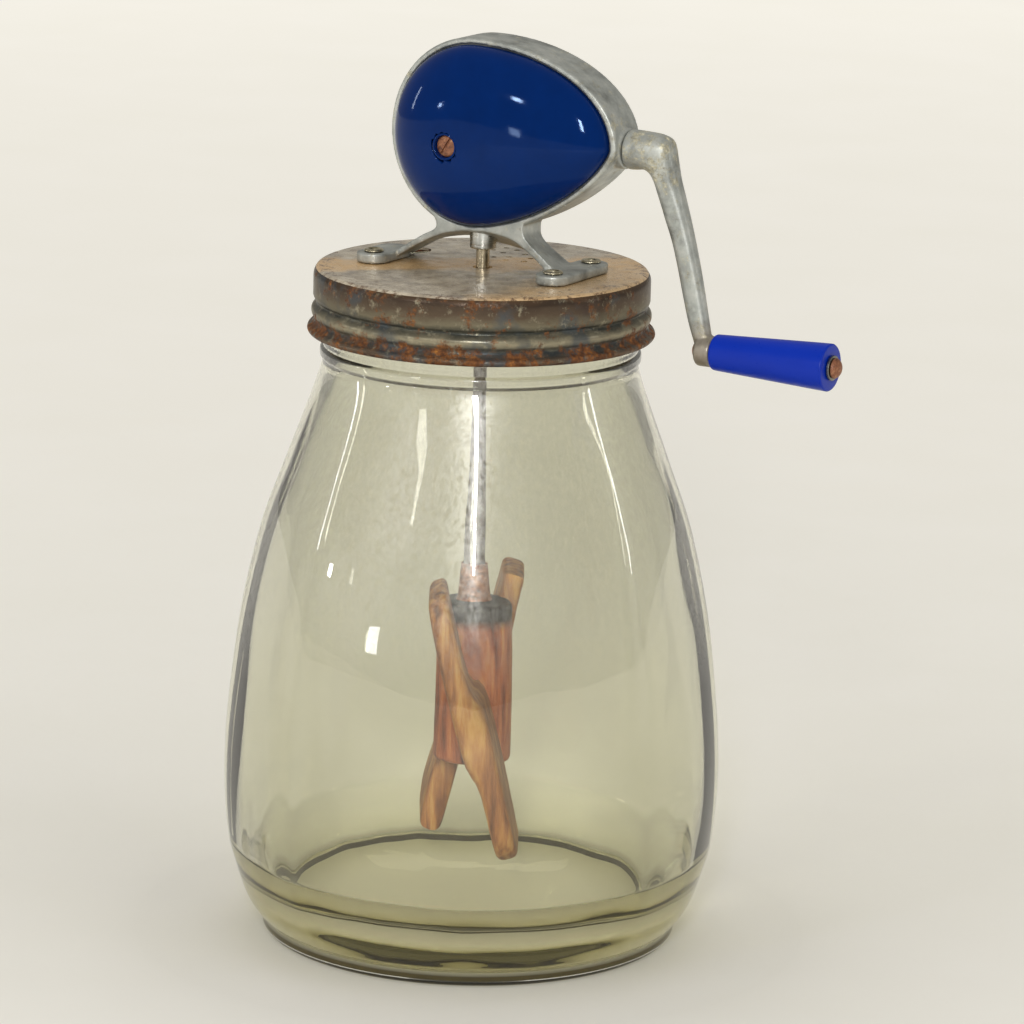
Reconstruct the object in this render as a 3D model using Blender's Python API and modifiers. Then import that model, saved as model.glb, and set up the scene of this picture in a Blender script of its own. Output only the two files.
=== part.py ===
"""Hand-cranked butter churn: panelled glass jar, screw lid, geared head and wooden beater."""
import bmesh
import bpy
import math
from mathutils import Matrix, Vector

# Jar
JAR_HEIGHT = 0.2366
JAR_BELLY_RADIUS = 0.0883
JAR_BELLY_Z = 0.060
JAR_FOOT_RADIUS = 0.0725
JAR_FOOT_HEIGHT = 0.0075
JAR_NECK_HEIGHT = 0.0316
JAR_NECK_RADIUS = 0.0554
JAR_NECK_WALL = 0.0049
JAR_WALL = 0.0055
JAR_FLOOR = 0.0145
JAR_PANELS = 8
JAR_PANEL_TURN_DEG = 7.5
JAR_PANEL_HOLLOW = 0.030
JAR_STEPS = 48

# Lid and seal
SEAL_THICKNESS = 0.0022
LID_SHEET = 0.0010
LID_DEPTH = 0.0234
THREAD_RISE = 0.0012
THREAD_CLEARANCE = 0.0004
POUR_HOLE_RADIUS = 0.0064
STRAINER_FIELD_RADIUS = 0.013

# Geared head
HEAD_RISE = 0.0476
HEAD_LEFT = 0.0330
HEAD_TIP = 0.0565
HEAD_HALF_HEIGHT = 0.0340
HEAD_DEPTH = 0.0180
HEAD_WALL = 0.0034
COVER_BULGE = 0.0125
COVER_SHEET = 0.0015
FOOT_SPAN = 0.0358
FOOT_SPREAD = 0.0134
FOOT_THICKNESS = 0.0034

# Gear train
DRIVE_TEETH = 28
PINION_TEETH = 14
DRIVE_PITCH_RADIUS = 0.0170
GEAR_FACE = 0.0060

# Shafts
CRANK_SHAFT_RADIUS = 0.0025
SPINDLE_RADIUS = 0.00238

# Crank and grip
CRANK_THROW = 0.0667
CRANK_REACH = 0.0355
CRANK_HUB_RADIUS = 0.0069
GRIP_LENGTH = 0.0440
GRIP_SMALL_RADIUS = 0.0062
GRIP_LARGE_RADIUS = 0.0082

# Beater
BEATER_CENTRE_Z = 0.081
BLADE_LENGTH = 0.098
BLADE_REACH = 0.0385
BLADE_THICKNESS = 0.0080
BLADE_SLANT_DEG = 14.5
BLADE_HEADING_DEG = 30.0
HUB_RADIUS = 0.0110
HUB_TOP_Z = 0.1200
HUB_BOTTOM_Z = 0.0620

# Gap between neighbouring pieces
GAP = 0.0003
# Points nearer than this are one point
MERGE_DISTANCE = 0.00001

# Sizes and positions that follow from those above
JAR_SHOULDER_TOP_Z = JAR_HEIGHT - JAR_NECK_HEIGHT
JAR_MOUTH_RADIUS = JAR_NECK_RADIUS - JAR_NECK_WALL
LID_RADIUS = JAR_NECK_RADIUS + THREAD_RISE + THREAD_CLEARANCE + LID_SHEET
SEAL_BOTTOM_Z = JAR_HEIGHT + GAP
SEAL_TOP_Z = SEAL_BOTTOM_Z + SEAL_THICKNESS
LID_UNDER_Z = SEAL_TOP_Z + GAP
LID_TOP_Z = LID_UNDER_Z + LID_SHEET
AXIS_Z = LID_TOP_Z + HEAD_RISE
HEAD_HALF_DEPTH = HEAD_DEPTH / 2
HEAD_BOTTOM_Z = AXIS_Z - HEAD_HALF_HEIGHT
GEAR_APEX = Vector((0, 0, AXIS_Z))

parts = None
cutters = None


def clear_scene():
    for obj in list(bpy.data.objects):
        bpy.data.objects.remove(obj, do_unlink=True)
    for collection in list(bpy.data.collections):
        bpy.data.collections.remove(collection)


def make_material(name, colour, metallic, roughness, alpha=1.0, transmission=0.0):
    material = bpy.data.materials.new(name)
    material.use_nodes = True
    shader = material.node_tree.nodes["Principled BSDF"]
    shader.inputs["Base Color"].default_value = (colour[0], colour[1], colour[2], 1.0)
    shader.inputs["Metallic"].default_value = metallic
    shader.inputs["Roughness"].default_value = roughness
    shader.inputs["Alpha"].default_value = alpha
    shader.inputs["Transmission Weight"].default_value = transmission
    return material


def add_part(name, mesh, material, origin=None):
    """Link a mesh given in world coordinates, with its object's origin moved to a point."""
    obj = bpy.data.objects.new(name, mesh)
    if origin is not None:
        mesh.transform(Matrix.Translation(-Vector(origin)))
        obj.location = origin
    own_material = material.copy()
    own_material.name = name + "_material"
    mesh.materials.clear()
    mesh.materials.append(own_material)
    parts.objects.link(obj)
    return obj


def add_cutter(name, mesh):
    obj = bpy.data.objects.new(name, mesh)
    cutters.objects.link(obj)
    obj.hide_render = True
    obj.display_type = "WIRE"
    return obj


def combine(obj, other, operation):
    modifier = obj.modifiers.new(other.name, "BOOLEAN")
    modifier.operation = operation
    modifier.object = other
    modifier.solver = "EXACT"


def cut(obj, other):
    combine(obj, other, "DIFFERENCE")


def join(obj, other):
    combine(obj, other, "UNION")


def evaluated_mesh(obj):
    depsgraph = bpy.context.evaluated_depsgraph_get()
    return bpy.data.meshes.new_from_object(obj.evaluated_get(depsgraph))


def shade_smooth_by_angle(mesh, angle_deg):
    """Smooth shading, with the edges sharper than the angle kept crisp."""
    mesh.polygons.foreach_set("use_smooth", [True] * len(mesh.polygons))
    mesh.set_sharp_from_angle(angle=math.radians(angle_deg))


def turned_mesh(name, profile, steps, closed=False):
    """Spin a profile of (radius, height) pairs about Z with a Screw modifier."""
    mesh = bpy.data.meshes.new(name)
    verts = [(radius, 0, height) for radius, height in profile]
    edges = [(i, i + 1) for i in range(len(verts) - 1)]
    if closed:
        edges.append((len(verts) - 1, 0))
    mesh.from_pydata(verts, edges, [])
    obj = bpy.data.objects.new(name + "_profile", mesh)
    cutters.objects.link(obj)
    screw = obj.modifiers.new("spin", "SCREW")
    screw.axis = "Z"
    screw.angle = math.radians(360)
    screw.steps = steps
    screw.render_steps = steps
    screw.use_merge_vertices = True
    screw.merge_threshold = MERGE_DISTANCE
    screw.use_normal_calculate = False
    bpy.context.view_layer.update()
    spun = evaluated_mesh(obj)
    bpy.data.objects.remove(obj, do_unlink=True)
    bm = bmesh.new()
    bm.from_mesh(spun)
    bmesh.ops.remove_doubles(bm, verts=bm.verts, dist=MERGE_DISTANCE)
    bmesh.ops.recalc_face_normals(bm, faces=bm.faces)
    bm.to_mesh(spun)
    bm.free()
    shade_smooth_by_angle(spun, 30)
    spun.name = name
    return spun


def along(axis):
    """Rotation that turns local Z to a signed world axis."""
    turns = {
        "+X": Matrix.Rotation(math.radians(90), 4, "Y"),
        "-X": Matrix.Rotation(math.radians(-90), 4, "Y"),
        "+Y": Matrix.Rotation(math.radians(-90), 4, "X"),
        "-Y": Matrix.Rotation(math.radians(90), 4, "X"),
        "+Z": Matrix.Identity(4),
        "-Z": Matrix.Rotation(math.radians(180), 4, "X"),
    }
    return turns[axis]


def placed(mesh, axis, centre):
    mesh.transform(Matrix.Translation(Vector(centre)) @ along(axis))
    return mesh


def rod_mesh(name, radius, low, high, steps, bevel=0.0):
    """Solid round bar along Z, with optional chamfered ends."""
    if bevel > 0:
        profile = [(0, high), (radius - bevel, high), (radius, high - bevel),
                   (radius, low + bevel), (radius - bevel, low), (0, low)]
    else:
        profile = [(0, high), (radius, high), (radius, low), (0, low)]
    return turned_mesh(name, profile, steps)


def ring_mesh(name, outer, inner, low, high, steps):
    profile = [(inner, high), (outer, high), (outer, low), (inner, low)]
    return turned_mesh(name, profile, steps, closed=True)


def drill(name, axis, centre, radius, low, high, steps):
    """Round cutter along a signed axis, from low to high counted from its centre."""
    mesh = rod_mesh(name, radius, low, high, steps)
    return add_cutter(name, placed(mesh, axis, centre))


def lofted_mesh(name, loops, ring=False, open_start=False):
    """Skin a list of equal loops of points; ring joins the last loop to the first."""
    bm = bmesh.new()
    rows = [[bm.verts.new(point) for point in loop] for loop in loops]
    count = len(rows[0])
    pairs = list(zip(rows, rows[1:]))
    if ring:
        pairs.append((rows[-1], rows[0]))
    for first, second in pairs:
        for i in range(count):
            j = (i + 1) % count
            bm.faces.new((first[i], first[j], second[j], second[i]))
    if not ring:
        bm.faces.new(rows[-1])
        if not open_start:
            bm.faces.new(list(reversed(rows[0])))
    bmesh.ops.recalc_face_normals(bm, faces=bm.faces)
    mesh = bpy.data.meshes.new(name)
    bm.to_mesh(mesh)
    bm.free()
    shade_smooth_by_angle(mesh, 35)
    return mesh


def extruded_mesh(name, outline, start, travel):
    """Extrude a flat outline; start maps an outline point to 3-D, travel is the sweep."""
    bm = bmesh.new()
    face = bm.faces.new([bm.verts.new(start(point)) for point in outline])
    swept = bmesh.ops.extrude_face_region(bm, geom=[face])
    moved = [item for item in swept["geom"] if isinstance(item, bmesh.types.BMVert)]
    bmesh.ops.translate(bm, vec=travel, verts=moved)
    bmesh.ops.recalc_face_normals(bm, faces=bm.faces)
    mesh = bpy.data.meshes.new(name)
    bm.to_mesh(mesh)
    bm.free()
    return mesh


def box_mesh(name, low, high):
    size = Vector(high) - Vector(low)
    centre = (Vector(high) + Vector(low)) / 2
    bm = bmesh.new()
    bmesh.ops.create_cube(bm, size=1)
    bm.transform(Matrix.Translation(centre) @ Matrix.Diagonal(size).to_4x4())
    mesh = bpy.data.meshes.new(name)
    bm.to_mesh(mesh)
    bm.free()
    return mesh


def rest_outline(points, radius, steps):
    """Outline of a bar with round ends between two points of the lid plane."""
    first, last = Vector(points[0]), Vector(points[1])
    heading = math.atan2(last.y - first.y, last.x - first.x)
    outline = []
    for centre, turn in ((last, -math.pi / 2), (first, math.pi / 2)):
        for i in range(steps + 1):
            angle = heading + turn + math.pi * i / steps
            outline.append((centre.x + radius * math.cos(angle),
                            centre.y + radius * math.sin(angle)))
    return outline


# Shape of the jar's side from belly to shoulder: height share, radius share
shoulder_shares = (
    (0.17, 0.965), (0.34, 0.87), (0.50, 0.735), (0.66, 0.54), (0.82, 0.295), (0.94, 0.09),
)
# Shape of the jar's side from belly down to the foot: drop share, radius share
lower_shares = ((0.30, 0.97), (0.56, 0.86), (0.76, 0.66), (0.90, 0.40), (0.97, 0.15))
# Ridges of the jar's neck: drop share from the rim, rise share
neck_shares = (
    (0.22, 0.0), (0.26, 1.0), (0.31, 1.0), (0.36, 0.0), (0.74, 0.0), (0.80, 1.0), (0.88, 1.0),
    (0.94, 0.0),
)
# Shape of the jar's floor inside: radius share, height share
floor_shares = ((0.60, 0.0), (0.80, 0.07), (0.92, 0.24), (0.98, 0.54))


def jar_radius(height):
    """Outer radius of the spun jar between its foot and its shoulder."""
    if height >= JAR_BELLY_Z:
        rows = ((0.0, 1.0),) + shoulder_shares + ((1.0, 0.0),)
        share = (height - JAR_BELLY_Z) / (JAR_SHOULDER_TOP_Z - JAR_BELLY_Z)
        base = JAR_NECK_RADIUS
    else:
        rows = ((0.0, 1.0),) + lower_shares + ((1.0, 0.0),)
        share = (JAR_BELLY_Z - height) / (JAR_BELLY_Z - JAR_FOOT_HEIGHT)
        base = JAR_FOOT_RADIUS
    share = min(max(share, 0.0), 1.0)
    for (low, first), (high, second) in zip(rows, rows[1:]):
        if low <= share <= high:
            blend = first + (second - first) * (share - low) / (high - low)
            return base + blend * (JAR_BELLY_RADIUS - base)
    return base


def jar_profile():
    """Open profile from the floor inside, up over the rim and down to the base."""
    inner_belly = JAR_BELLY_RADIUS - JAR_WALL
    rise = JAR_BELLY_Z - JAR_FLOOR
    points = [(0, JAR_FLOOR)]
    for radius_share, height_share in floor_shares:
        points.append((inner_belly * radius_share, JAR_FLOOR + rise * height_share))
    points.append((inner_belly, JAR_BELLY_Z))
    climb = JAR_SHOULDER_TOP_Z - JAR_BELLY_Z
    for height_share, _ in shoulder_shares:
        height = JAR_BELLY_Z + climb * height_share
        points.append((max(jar_radius(height) - JAR_WALL, JAR_MOUTH_RADIUS), height))
    points.append((JAR_MOUTH_RADIUS, JAR_SHOULDER_TOP_Z))
    rim_round = (JAR_NECK_RADIUS - JAR_MOUTH_RADIUS) / 3
    points.append((JAR_MOUTH_RADIUS, JAR_HEIGHT - rim_round))
    points.append((JAR_MOUTH_RADIUS + rim_round, JAR_HEIGHT))
    points.append((JAR_NECK_RADIUS - rim_round, JAR_HEIGHT))
    points.append((JAR_NECK_RADIUS, JAR_HEIGHT - rim_round))
    for drop_share, rise_share in neck_shares:
        points.append((JAR_NECK_RADIUS + THREAD_RISE * rise_share,
                       JAR_HEIGHT - JAR_NECK_HEIGHT * drop_share))
    for height_share, _ in reversed(shoulder_shares):
        height = JAR_BELLY_Z + climb * height_share
        points.append((jar_radius(height), height))
    points.append((JAR_BELLY_RADIUS, JAR_BELLY_Z))
    for drop_share, _ in lower_shares:
        height = JAR_BELLY_Z - (JAR_BELLY_Z - JAR_FOOT_HEIGHT) * drop_share
        points.append((jar_radius(height), height))
    foot_round = JAR_FOOT_HEIGHT / 4
    points += [
        (JAR_FOOT_RADIUS, JAR_FOOT_HEIGHT),
        (JAR_FOOT_RADIUS, foot_round),
        (JAR_FOOT_RADIUS - foot_round, 0),
        (0, 0),
    ]
    return points


def panel_depth(height):
    """Share of the panels' full hollow at a height: none at foot and neck."""
    low = JAR_FOOT_HEIGHT
    high = JAR_SHOULDER_TOP_Z
    if height <= low or height >= high:
        return 0.0
    share = (height - low) / (high - low)
    return math.sin(math.pi * share) ** 0.7


def build_jar(materials):
    mesh = turned_mesh("glass_jar", jar_profile(), JAR_STEPS)
    for vert in mesh.vertices:
        if math.hypot(vert.co.x, vert.co.y) < JAR_MOUTH_RADIUS:
            continue
        angle = math.atan2(vert.co.y, vert.co.x) - math.radians(JAR_PANEL_TURN_DEG)
        wave = (1 + math.cos(JAR_PANELS * angle)) / 2
        factor = 1 - JAR_PANEL_HOLLOW * panel_depth(vert.co.z) * wave
        vert.co.x *= factor
        vert.co.y *= factor
    add_part("glass_jar", mesh, materials["glass"])


def build_seal(materials):
    overlap = GAP
    mesh = ring_mesh("lid_seal_ring", JAR_NECK_RADIUS, JAR_MOUTH_RADIUS + overlap,
                     SEAL_BOTTOM_Z, SEAL_TOP_Z, JAR_STEPS)
    add_part("lid_seal_ring", mesh, materials["rubber"])


def lid_profile():
    """Closed sheet profile: flat top, upright band, one bead, flared skirt, rolled edge."""
    shaft_hole_radius = SPINDLE_RADIUS + 3.7 * GAP
    corner = 2 * LID_SHEET
    outside = (
        (-1.0 * corner, 0.0), (-0.3 * corner, 0.3 * corner), (0.0, 1.0 * corner),
        (0.0, 0.42 * LID_DEPTH), (0.9 * LID_SHEET, 0.54 * LID_DEPTH),
        (0.2 * LID_SHEET, 0.66 * LID_DEPTH), (1.6 * LID_SHEET, 0.86 * LID_DEPTH),
        (3.1 * LID_SHEET, 0.93 * LID_DEPTH), (2.4 * LID_SHEET, 1.00 * LID_DEPTH),
    )
    inside = (
        (0.5 * LID_SHEET, 0.87 * LID_DEPTH), (-0.8 * LID_SHEET, 0.68 * LID_DEPTH),
        (-0.1 * LID_SHEET, 0.54 * LID_DEPTH), (-1.0 * LID_SHEET, 0.45 * LID_DEPTH),
        (-1.0 * LID_SHEET, 1.2 * corner),
    )
    points = [(shaft_hole_radius, LID_TOP_Z)]
    for out, drop in outside + inside:
        points.append((LID_RADIUS + out, LID_TOP_Z - drop))
    points.append((LID_RADIUS - 1.6 * LID_SHEET, LID_UNDER_Z))
    points.append((shaft_hole_radius, LID_UNDER_Z))
    return points


# Small strainer holes: place in their round field, as shares of its radius
strainer_hole_shares = (
    (-0.68, 0.79), (-0.40, 0.09), (-0.28, -0.62), (0.06, -0.36), (-0.25, 0.66),
    (0.20, 0.24), (0.65, -0.22), (0.73, -0.68), (0.20, -0.81), (-0.80, 0.28),
    (-0.72, -0.36), (0.42, 0.68),
)


def rivet_places():
    """Three riveted feet: two on the crank side, one at the front left."""
    left_front = (-FOOT_SPAN, -1.08 * FOOT_SPREAD)
    right_front = (FOOT_SPAN, -FOOT_SPREAD)
    right_rear = (FOOT_SPAN, FOOT_SPREAD)
    return {"left_front": left_front, "right_front": right_front, "right_rear": right_rear}


def build_lid(materials, rivet_hole_radius):
    mesh = turned_mesh("lid_cap", lid_profile(), JAR_STEPS, closed=True)
    lid = add_part("lid_cap", mesh, materials["tin"])
    depth = 3 * LID_SHEET
    for name, (x, y) in rivet_places().items():
        cut(lid, drill("lid_hole_" + name, "+Z", (x, y, LID_TOP_Z), rivet_hole_radius,
                       -depth, depth, 12))
    pour_x = -1.02 * FOOT_SPAN
    pour_y = 1.02 * FOOT_SPREAD
    cut(lid, drill("lid_pour_hole", "+Z", (pour_x, pour_y, LID_TOP_Z), POUR_HOLE_RADIUS,
                   -depth, depth, 24))
    field = Vector((-0.24 * STRAINER_FIELD_RADIUS, 2.1 * STRAINER_FIELD_RADIUS, LID_TOP_Z))
    strainer_hole_radius = 0.085 * STRAINER_FIELD_RADIUS
    for number, (x, y) in enumerate(strainer_hole_shares):
        centre = field + Vector((x, y, 0)) * STRAINER_FIELD_RADIUS
        cut(lid, drill("lid_strainer_hole_%02d" % number, "+Z", centre, strainer_hole_radius,
                       -depth, depth, 6))
    return lid


def egg_half_height(x, inset):
    """Half height of the head's egg-shaped side view at a place along it."""
    left = HEAD_LEFT - inset
    high = HEAD_HALF_HEIGHT - inset
    tip = HEAD_TIP - 1.45 * inset
    if x < 0:
        return high * math.sqrt(max(1 - (x / left) ** 2, 0))
    return high * max(1 - (x / tip) ** 1.6, 0) ** 0.78


def egg_outline(inset, count=36):
    """Points (x, z) of the head's egg-shaped side view, drawn in by an inset."""
    left = HEAD_LEFT - inset
    high = HEAD_HALF_HEIGHT - inset
    tip = HEAD_TIP - 1.45 * inset
    half = count // 4
    points = []
    for i in range(2 * half):
        angle = math.pi / 2 + math.pi * i / (2 * half)
        points.append((left * math.cos(angle), high * math.sin(angle)))
    for i in range(2 * half):
        angle = -math.pi / 2 + math.pi * i / (2 * half)
        x = tip * math.cos(angle)
        points.append((x, math.copysign(egg_half_height(x, inset), angle)))
    return points


def egg_loop(inset, y, shrink=1.0):
    return [(x * shrink, y, AXIS_Z + z * shrink) for x, z in egg_outline(inset)]


COVER_LEDGE = 0.0016
COVER_LIP = 0.0019
POST_X = -0.0040
POST_DROP = 0.0027
POST_RADIUS = 0.0040
COVER_SCREW_RADIUS = 0.0016
COVER_SCREW_HEAD_RADIUS = 0.0030
COVER_SCREW_HEAD_HEIGHT = 0.0014
CUP_RADIUS = COVER_SCREW_HEAD_RADIUS + 3 * GAP
SCREW_HOLE_RADIUS = COVER_SCREW_RADIUS + GAP
# Rise of the domed cover: plan share, height share
dome_shares = ((0.98, 0.18), (0.91, 0.42), (0.78, 0.67), (0.59, 0.87), (0.35, 0.98))


def cup_depth():
    """Height above the head's face of the flat floor under the cover screw's head."""
    return HEAD_HALF_DEPTH + 0.86 * COVER_BULGE - COVER_SCREW_HEAD_HEIGHT


def build_cover(name, side, material):
    """Domed sheet cover whose rim seats in the head's ledge, with a cup for its screw."""
    rim = HEAD_HALF_DEPTH - COVER_LEDGE + GAP
    inset = COVER_LIP + GAP
    loops = [egg_loop(inset, side * rim), egg_loop(inset, side * HEAD_HALF_DEPTH)]
    for plan, rise in dome_shares:
        loops.append(egg_loop(inset, side * (HEAD_HALF_DEPTH + rise * COVER_BULGE), plan))
    cover = add_part(name, lofted_mesh(name, loops, open_start=True), material)
    sheet = cover.modifiers.new("sheet", "SOLIDIFY")
    sheet.thickness = COVER_SHEET
    sheet.offset = -1
    sheet.use_even_offset = True
    axis = "-Y" if side < 0 else "+Y"
    place = (POST_X, 0, AXIS_Z - POST_DROP)
    floor = cup_depth()
    cup_wall = COVER_SHEET
    cup = rod_mesh(name + "_cup", CUP_RADIUS + cup_wall, floor - cup_wall,
                   HEAD_HALF_DEPTH + 0.88 * COVER_BULGE, 20)
    join(cover, add_cutter(name + "_cup", placed(cup, axis, place)))
    top = HEAD_HALF_DEPTH + 2 * COVER_BULGE
    cut(cover, drill(name + "_cup_bore", axis, place, CUP_RADIUS, floor, top, 20))
    cut(cover, drill(name + "_screw_hole", axis, place, SCREW_HOLE_RADIUS, 0, top, 12))
    return cover


def build_cover_screw(name, side, material):
    axis = "-Y" if side < 0 else "+Y"
    seat = cup_depth() + GAP
    length = 0.0080
    head = COVER_SCREW_HEAD_HEIGHT
    edge = head / 4
    profile = [
        (0, seat + head), (COVER_SCREW_HEAD_RADIUS - edge, seat + head),
        (COVER_SCREW_HEAD_RADIUS, seat + head - edge), (COVER_SCREW_HEAD_RADIUS, seat),
        (COVER_SCREW_RADIUS, seat), (COVER_SCREW_RADIUS, seat - length), (0, seat - length),
    ]
    mesh = turned_mesh(name, profile, 16)
    place = Vector((POST_X, 0, AXIS_Z - POST_DROP))
    screw = add_part(name, placed(mesh, axis, place), material)
    slot_half_width = 0.00045
    slot_depth = head / 2
    far = 2 * COVER_SCREW_HEAD_RADIUS
    slot = box_mesh(name + "_slot", (-slot_half_width, -far, seat + head - slot_depth),
                    (slot_half_width, far, seat + 2 * head))
    slot.transform(Matrix.Rotation(math.radians(-25), 4, "Z"))
    cut(screw, add_cutter(name + "_slot", placed(slot, axis, place)))
    return screw


BUSH_STEM_RADIUS = 0.0038
BUSH_COLLAR_RADIUS = 0.0047
BUSH_COLLAR_HEIGHT = 0.0064
BOTTOM_BOSS_RADIUS = 0.0072
BOTTOM_BOSS_RISE = 0.0066
TIP_BOSS_RADIUS = 0.0071
TIP_BOSS_LENGTH = 0.0150
CRANK_BUSH_WALL = 0.0012
BLOCK_HALF_WIDTH = 0.0060
BLOCK_RIGHT = 0.0020
RIVET_RADIUS = 0.0022
RIVET_BORE = 0.0016
RIVET_FLANGE_RADIUS = 0.0036
RIVET_FLANGE_HEIGHT = 0.0008
RIVET_HOLE_RADIUS = RIVET_RADIUS + GAP
FOOT_BAR_RADIUS = 0.0060


def build_frame(materials):
    """Cast frame: egg-shaped ring, arched legs, feet, bosses and the inner bearing block."""
    half = HEAD_HALF_DEPTH
    ledge = half - COVER_LEDGE
    loops = [
        egg_loop(0, -half), egg_loop(0, half), egg_loop(COVER_LIP, half), egg_loop(COVER_LIP, ledge),
        egg_loop(HEAD_WALL, ledge), egg_loop(HEAD_WALL, -ledge), egg_loop(COVER_LIP, -ledge),
        egg_loop(COVER_LIP, -half),
    ]
    mesh = lofted_mesh("gear_frame", loops, ring=True)
    frame = add_part("gear_frame", mesh, materials["alloy"])

    tip_boss = rod_mesh("tip_boss", TIP_BOSS_RADIUS, HEAD_TIP - TIP_BOSS_LENGTH,
                        HEAD_TIP + 2 * GAP, 24)
    join(frame, add_cutter("tip_boss", placed(tip_boss, "+X", GEAR_APEX)))
    bottom_boss = rod_mesh("bottom_boss", BOTTOM_BOSS_RADIUS, HEAD_BOTTOM_Z + GAP,
                           HEAD_BOTTOM_Z + BOTTOM_BOSS_RISE, 24)
    join(frame, add_cutter("bottom_boss", bottom_boss))

    block_top = AXIS_Z + BLOCK_HALF_WIDTH
    block_low = AXIS_Z - BLOCK_HALF_WIDTH
    block_left = POST_X - BLOCK_HALF_WIDTH
    block = box_mesh("bearing_block", (block_left, -BLOCK_HALF_WIDTH, block_low),
                     (BLOCK_RIGHT, BLOCK_HALF_WIDTH, block_top))
    join(frame, add_cutter("bearing_block", block))
    arm_half = BLOCK_HALF_WIDTH / 2
    arm = box_mesh("bearing_arm", (-HEAD_LEFT + HEAD_WALL / 2, -arm_half, AXIS_Z - arm_half),
                   (block_left + arm_half, arm_half, AXIS_Z + arm_half))
    join(frame, add_cutter("bearing_arm", arm))
    post_reach = cup_depth() - COVER_SHEET - GAP
    posts = rod_mesh("cover_posts", POST_RADIUS, -post_reach, post_reach, 20)
    join(frame, add_cutter("cover_posts", placed(posts, "+Y", (POST_X, 0, AXIS_Z - POST_DROP))))

    foot_low = LID_TOP_Z + GAP
    foot_top = foot_low + FOOT_THICKNESS
    heel = FOOT_SPAN - FOOT_BAR_RADIUS / 2
    toe = FOOT_SPAN - FOOT_BAR_RADIUS
    bar = 0.0036
    front_peak = HEAD_BOTTOM_Z + GAP
    rear_peak = front_peak - 1.7 * bar
    steps = 16

    def leg_outline(left, right, peak, low):
        """Closed outline: under the arch from right to left, then back over the legs."""
        under = []
        for i in range(steps + 1):
            x = right + (left - right) * i / steps
            share = min(abs(x) / toe, 1.0)
            under.append((x, peak - (peak - low) * share ** 2.2))
        shoulder = 0.46 * FOOT_SPAN
        waist = 0.52 * FOOT_SPAN
        shin = 0.68 * FOOT_SPAN
        over = [
            (left, low + bar), (-shin, foot_top + 0.6 * bar), (-waist, foot_top + 2.1 * bar),
        ]
        for i in range(steps + 1):
            x = -shoulder + 2 * shoulder * i / steps
            over.append((x, AXIS_Z - egg_half_height(x, COVER_LIP / 2)))
        over += [(waist, foot_top + 2.1 * bar), (shin, foot_top + 0.6 * bar), (right, low + bar)]
        return under + over

    rear_start = BUSH_COLLAR_RADIUS + 3 * GAP
    front = extruded_mesh("front_legs", leg_outline(-heel, heel, front_peak, foot_low),
                          lambda p: (p[0], -half, p[1]), Vector((0, half + rear_start, 0)))
    join(frame, add_cutter("front_legs", front))
    rear_left = -0.72 * FOOT_SPAN
    rear_low = foot_low + 0.4 * bar
    rear = extruded_mesh("rear_legs", leg_outline(rear_left, heel, rear_peak, rear_low),
                         lambda p: (p[0], rear_start - GAP, p[1]),
                         Vector((0, half - rear_start + GAP, 0)))
    join(frame, add_cutter("rear_legs", rear))

    places = rivet_places()
    left_front = places["left_front"]
    left_end = (left_front[0], -0.12 * FOOT_SPREAD)
    for name, ends in (("left", (left_front, left_end)),
                       ("right", (places["right_front"], places["right_rear"]))):
        outline = rest_outline(ends, FOOT_BAR_RADIUS, 8)
        bar_mesh = extruded_mesh(name + "_foot", outline, lambda p: (p[0], p[1], foot_low),
                                 Vector((0, 0, FOOT_THICKNESS)))
        join(frame, add_cutter(name + "_foot", bar_mesh))

    bush_reach = 2 * BOTTOM_BOSS_RISE
    cut(frame, drill("bush_hole", "+Z", (0, 0, HEAD_BOTTOM_Z), BUSH_STEM_RADIUS + GAP,
                     -bush_reach, bush_reach, 20))
    bush_outer = CRANK_SHAFT_RADIUS + GAP + CRANK_BUSH_WALL
    cut(frame, drill("tip_hole", "+X", GEAR_APEX, bush_outer + GAP,
                     HEAD_TIP - 2 * TIP_BOSS_LENGTH, HEAD_TIP + TIP_BOSS_LENGTH, 20))
    cut(frame, drill("block_bore", "+X", GEAR_APEX, CRANK_SHAFT_RADIUS + GAP,
                     -BLOCK_HALF_WIDTH, 2 * BLOCK_HALF_WIDTH, 16))
    for name, axis in (("front", "-Y"), ("rear", "+Y")):
        cut(frame, drill(name + "_post_hole", axis, (POST_X, 0, AXIS_Z - POST_DROP),
                         SCREW_HOLE_RADIUS, BLOCK_HALF_WIDTH + 2 * GAP, 2 * post_reach, 12))
    for name, (x, y) in places.items():
        cut(frame, drill("foot_hole_" + name, "+Z", (x, y, foot_low), RIVET_HOLE_RADIUS,
                         -FOOT_THICKNESS, 2 * FOOT_THICKNESS, 12))
    return frame


def build_rivets(material):
    """Hollow eyelet rivets that hold the feet to the lid."""
    top = LID_TOP_Z + GAP + FOOT_THICKNESS + GAP
    low = LID_UNDER_Z - GAP
    under_flange_radius = 0.9 * RIVET_FLANGE_RADIUS
    profile = [
        (RIVET_BORE, top + RIVET_FLANGE_HEIGHT),
        (0.75 * RIVET_FLANGE_RADIUS, top + RIVET_FLANGE_HEIGHT),
        (RIVET_FLANGE_RADIUS, top + 0.4 * RIVET_FLANGE_HEIGHT),
        (RIVET_FLANGE_RADIUS, top),
        (RIVET_RADIUS, top),
        (RIVET_RADIUS, low),
        (under_flange_radius, low),
        (under_flange_radius, low - RIVET_FLANGE_HEIGHT),
        (RIVET_BORE, low - RIVET_FLANGE_HEIGHT),
    ]
    for name, (x, y) in rivet_places().items():
        mesh = turned_mesh("foot_rivet_" + name, profile, 14, closed=True)
        add_part("foot_rivet_" + name, placed(mesh, "+Z", (x, y, 0)), material)


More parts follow.
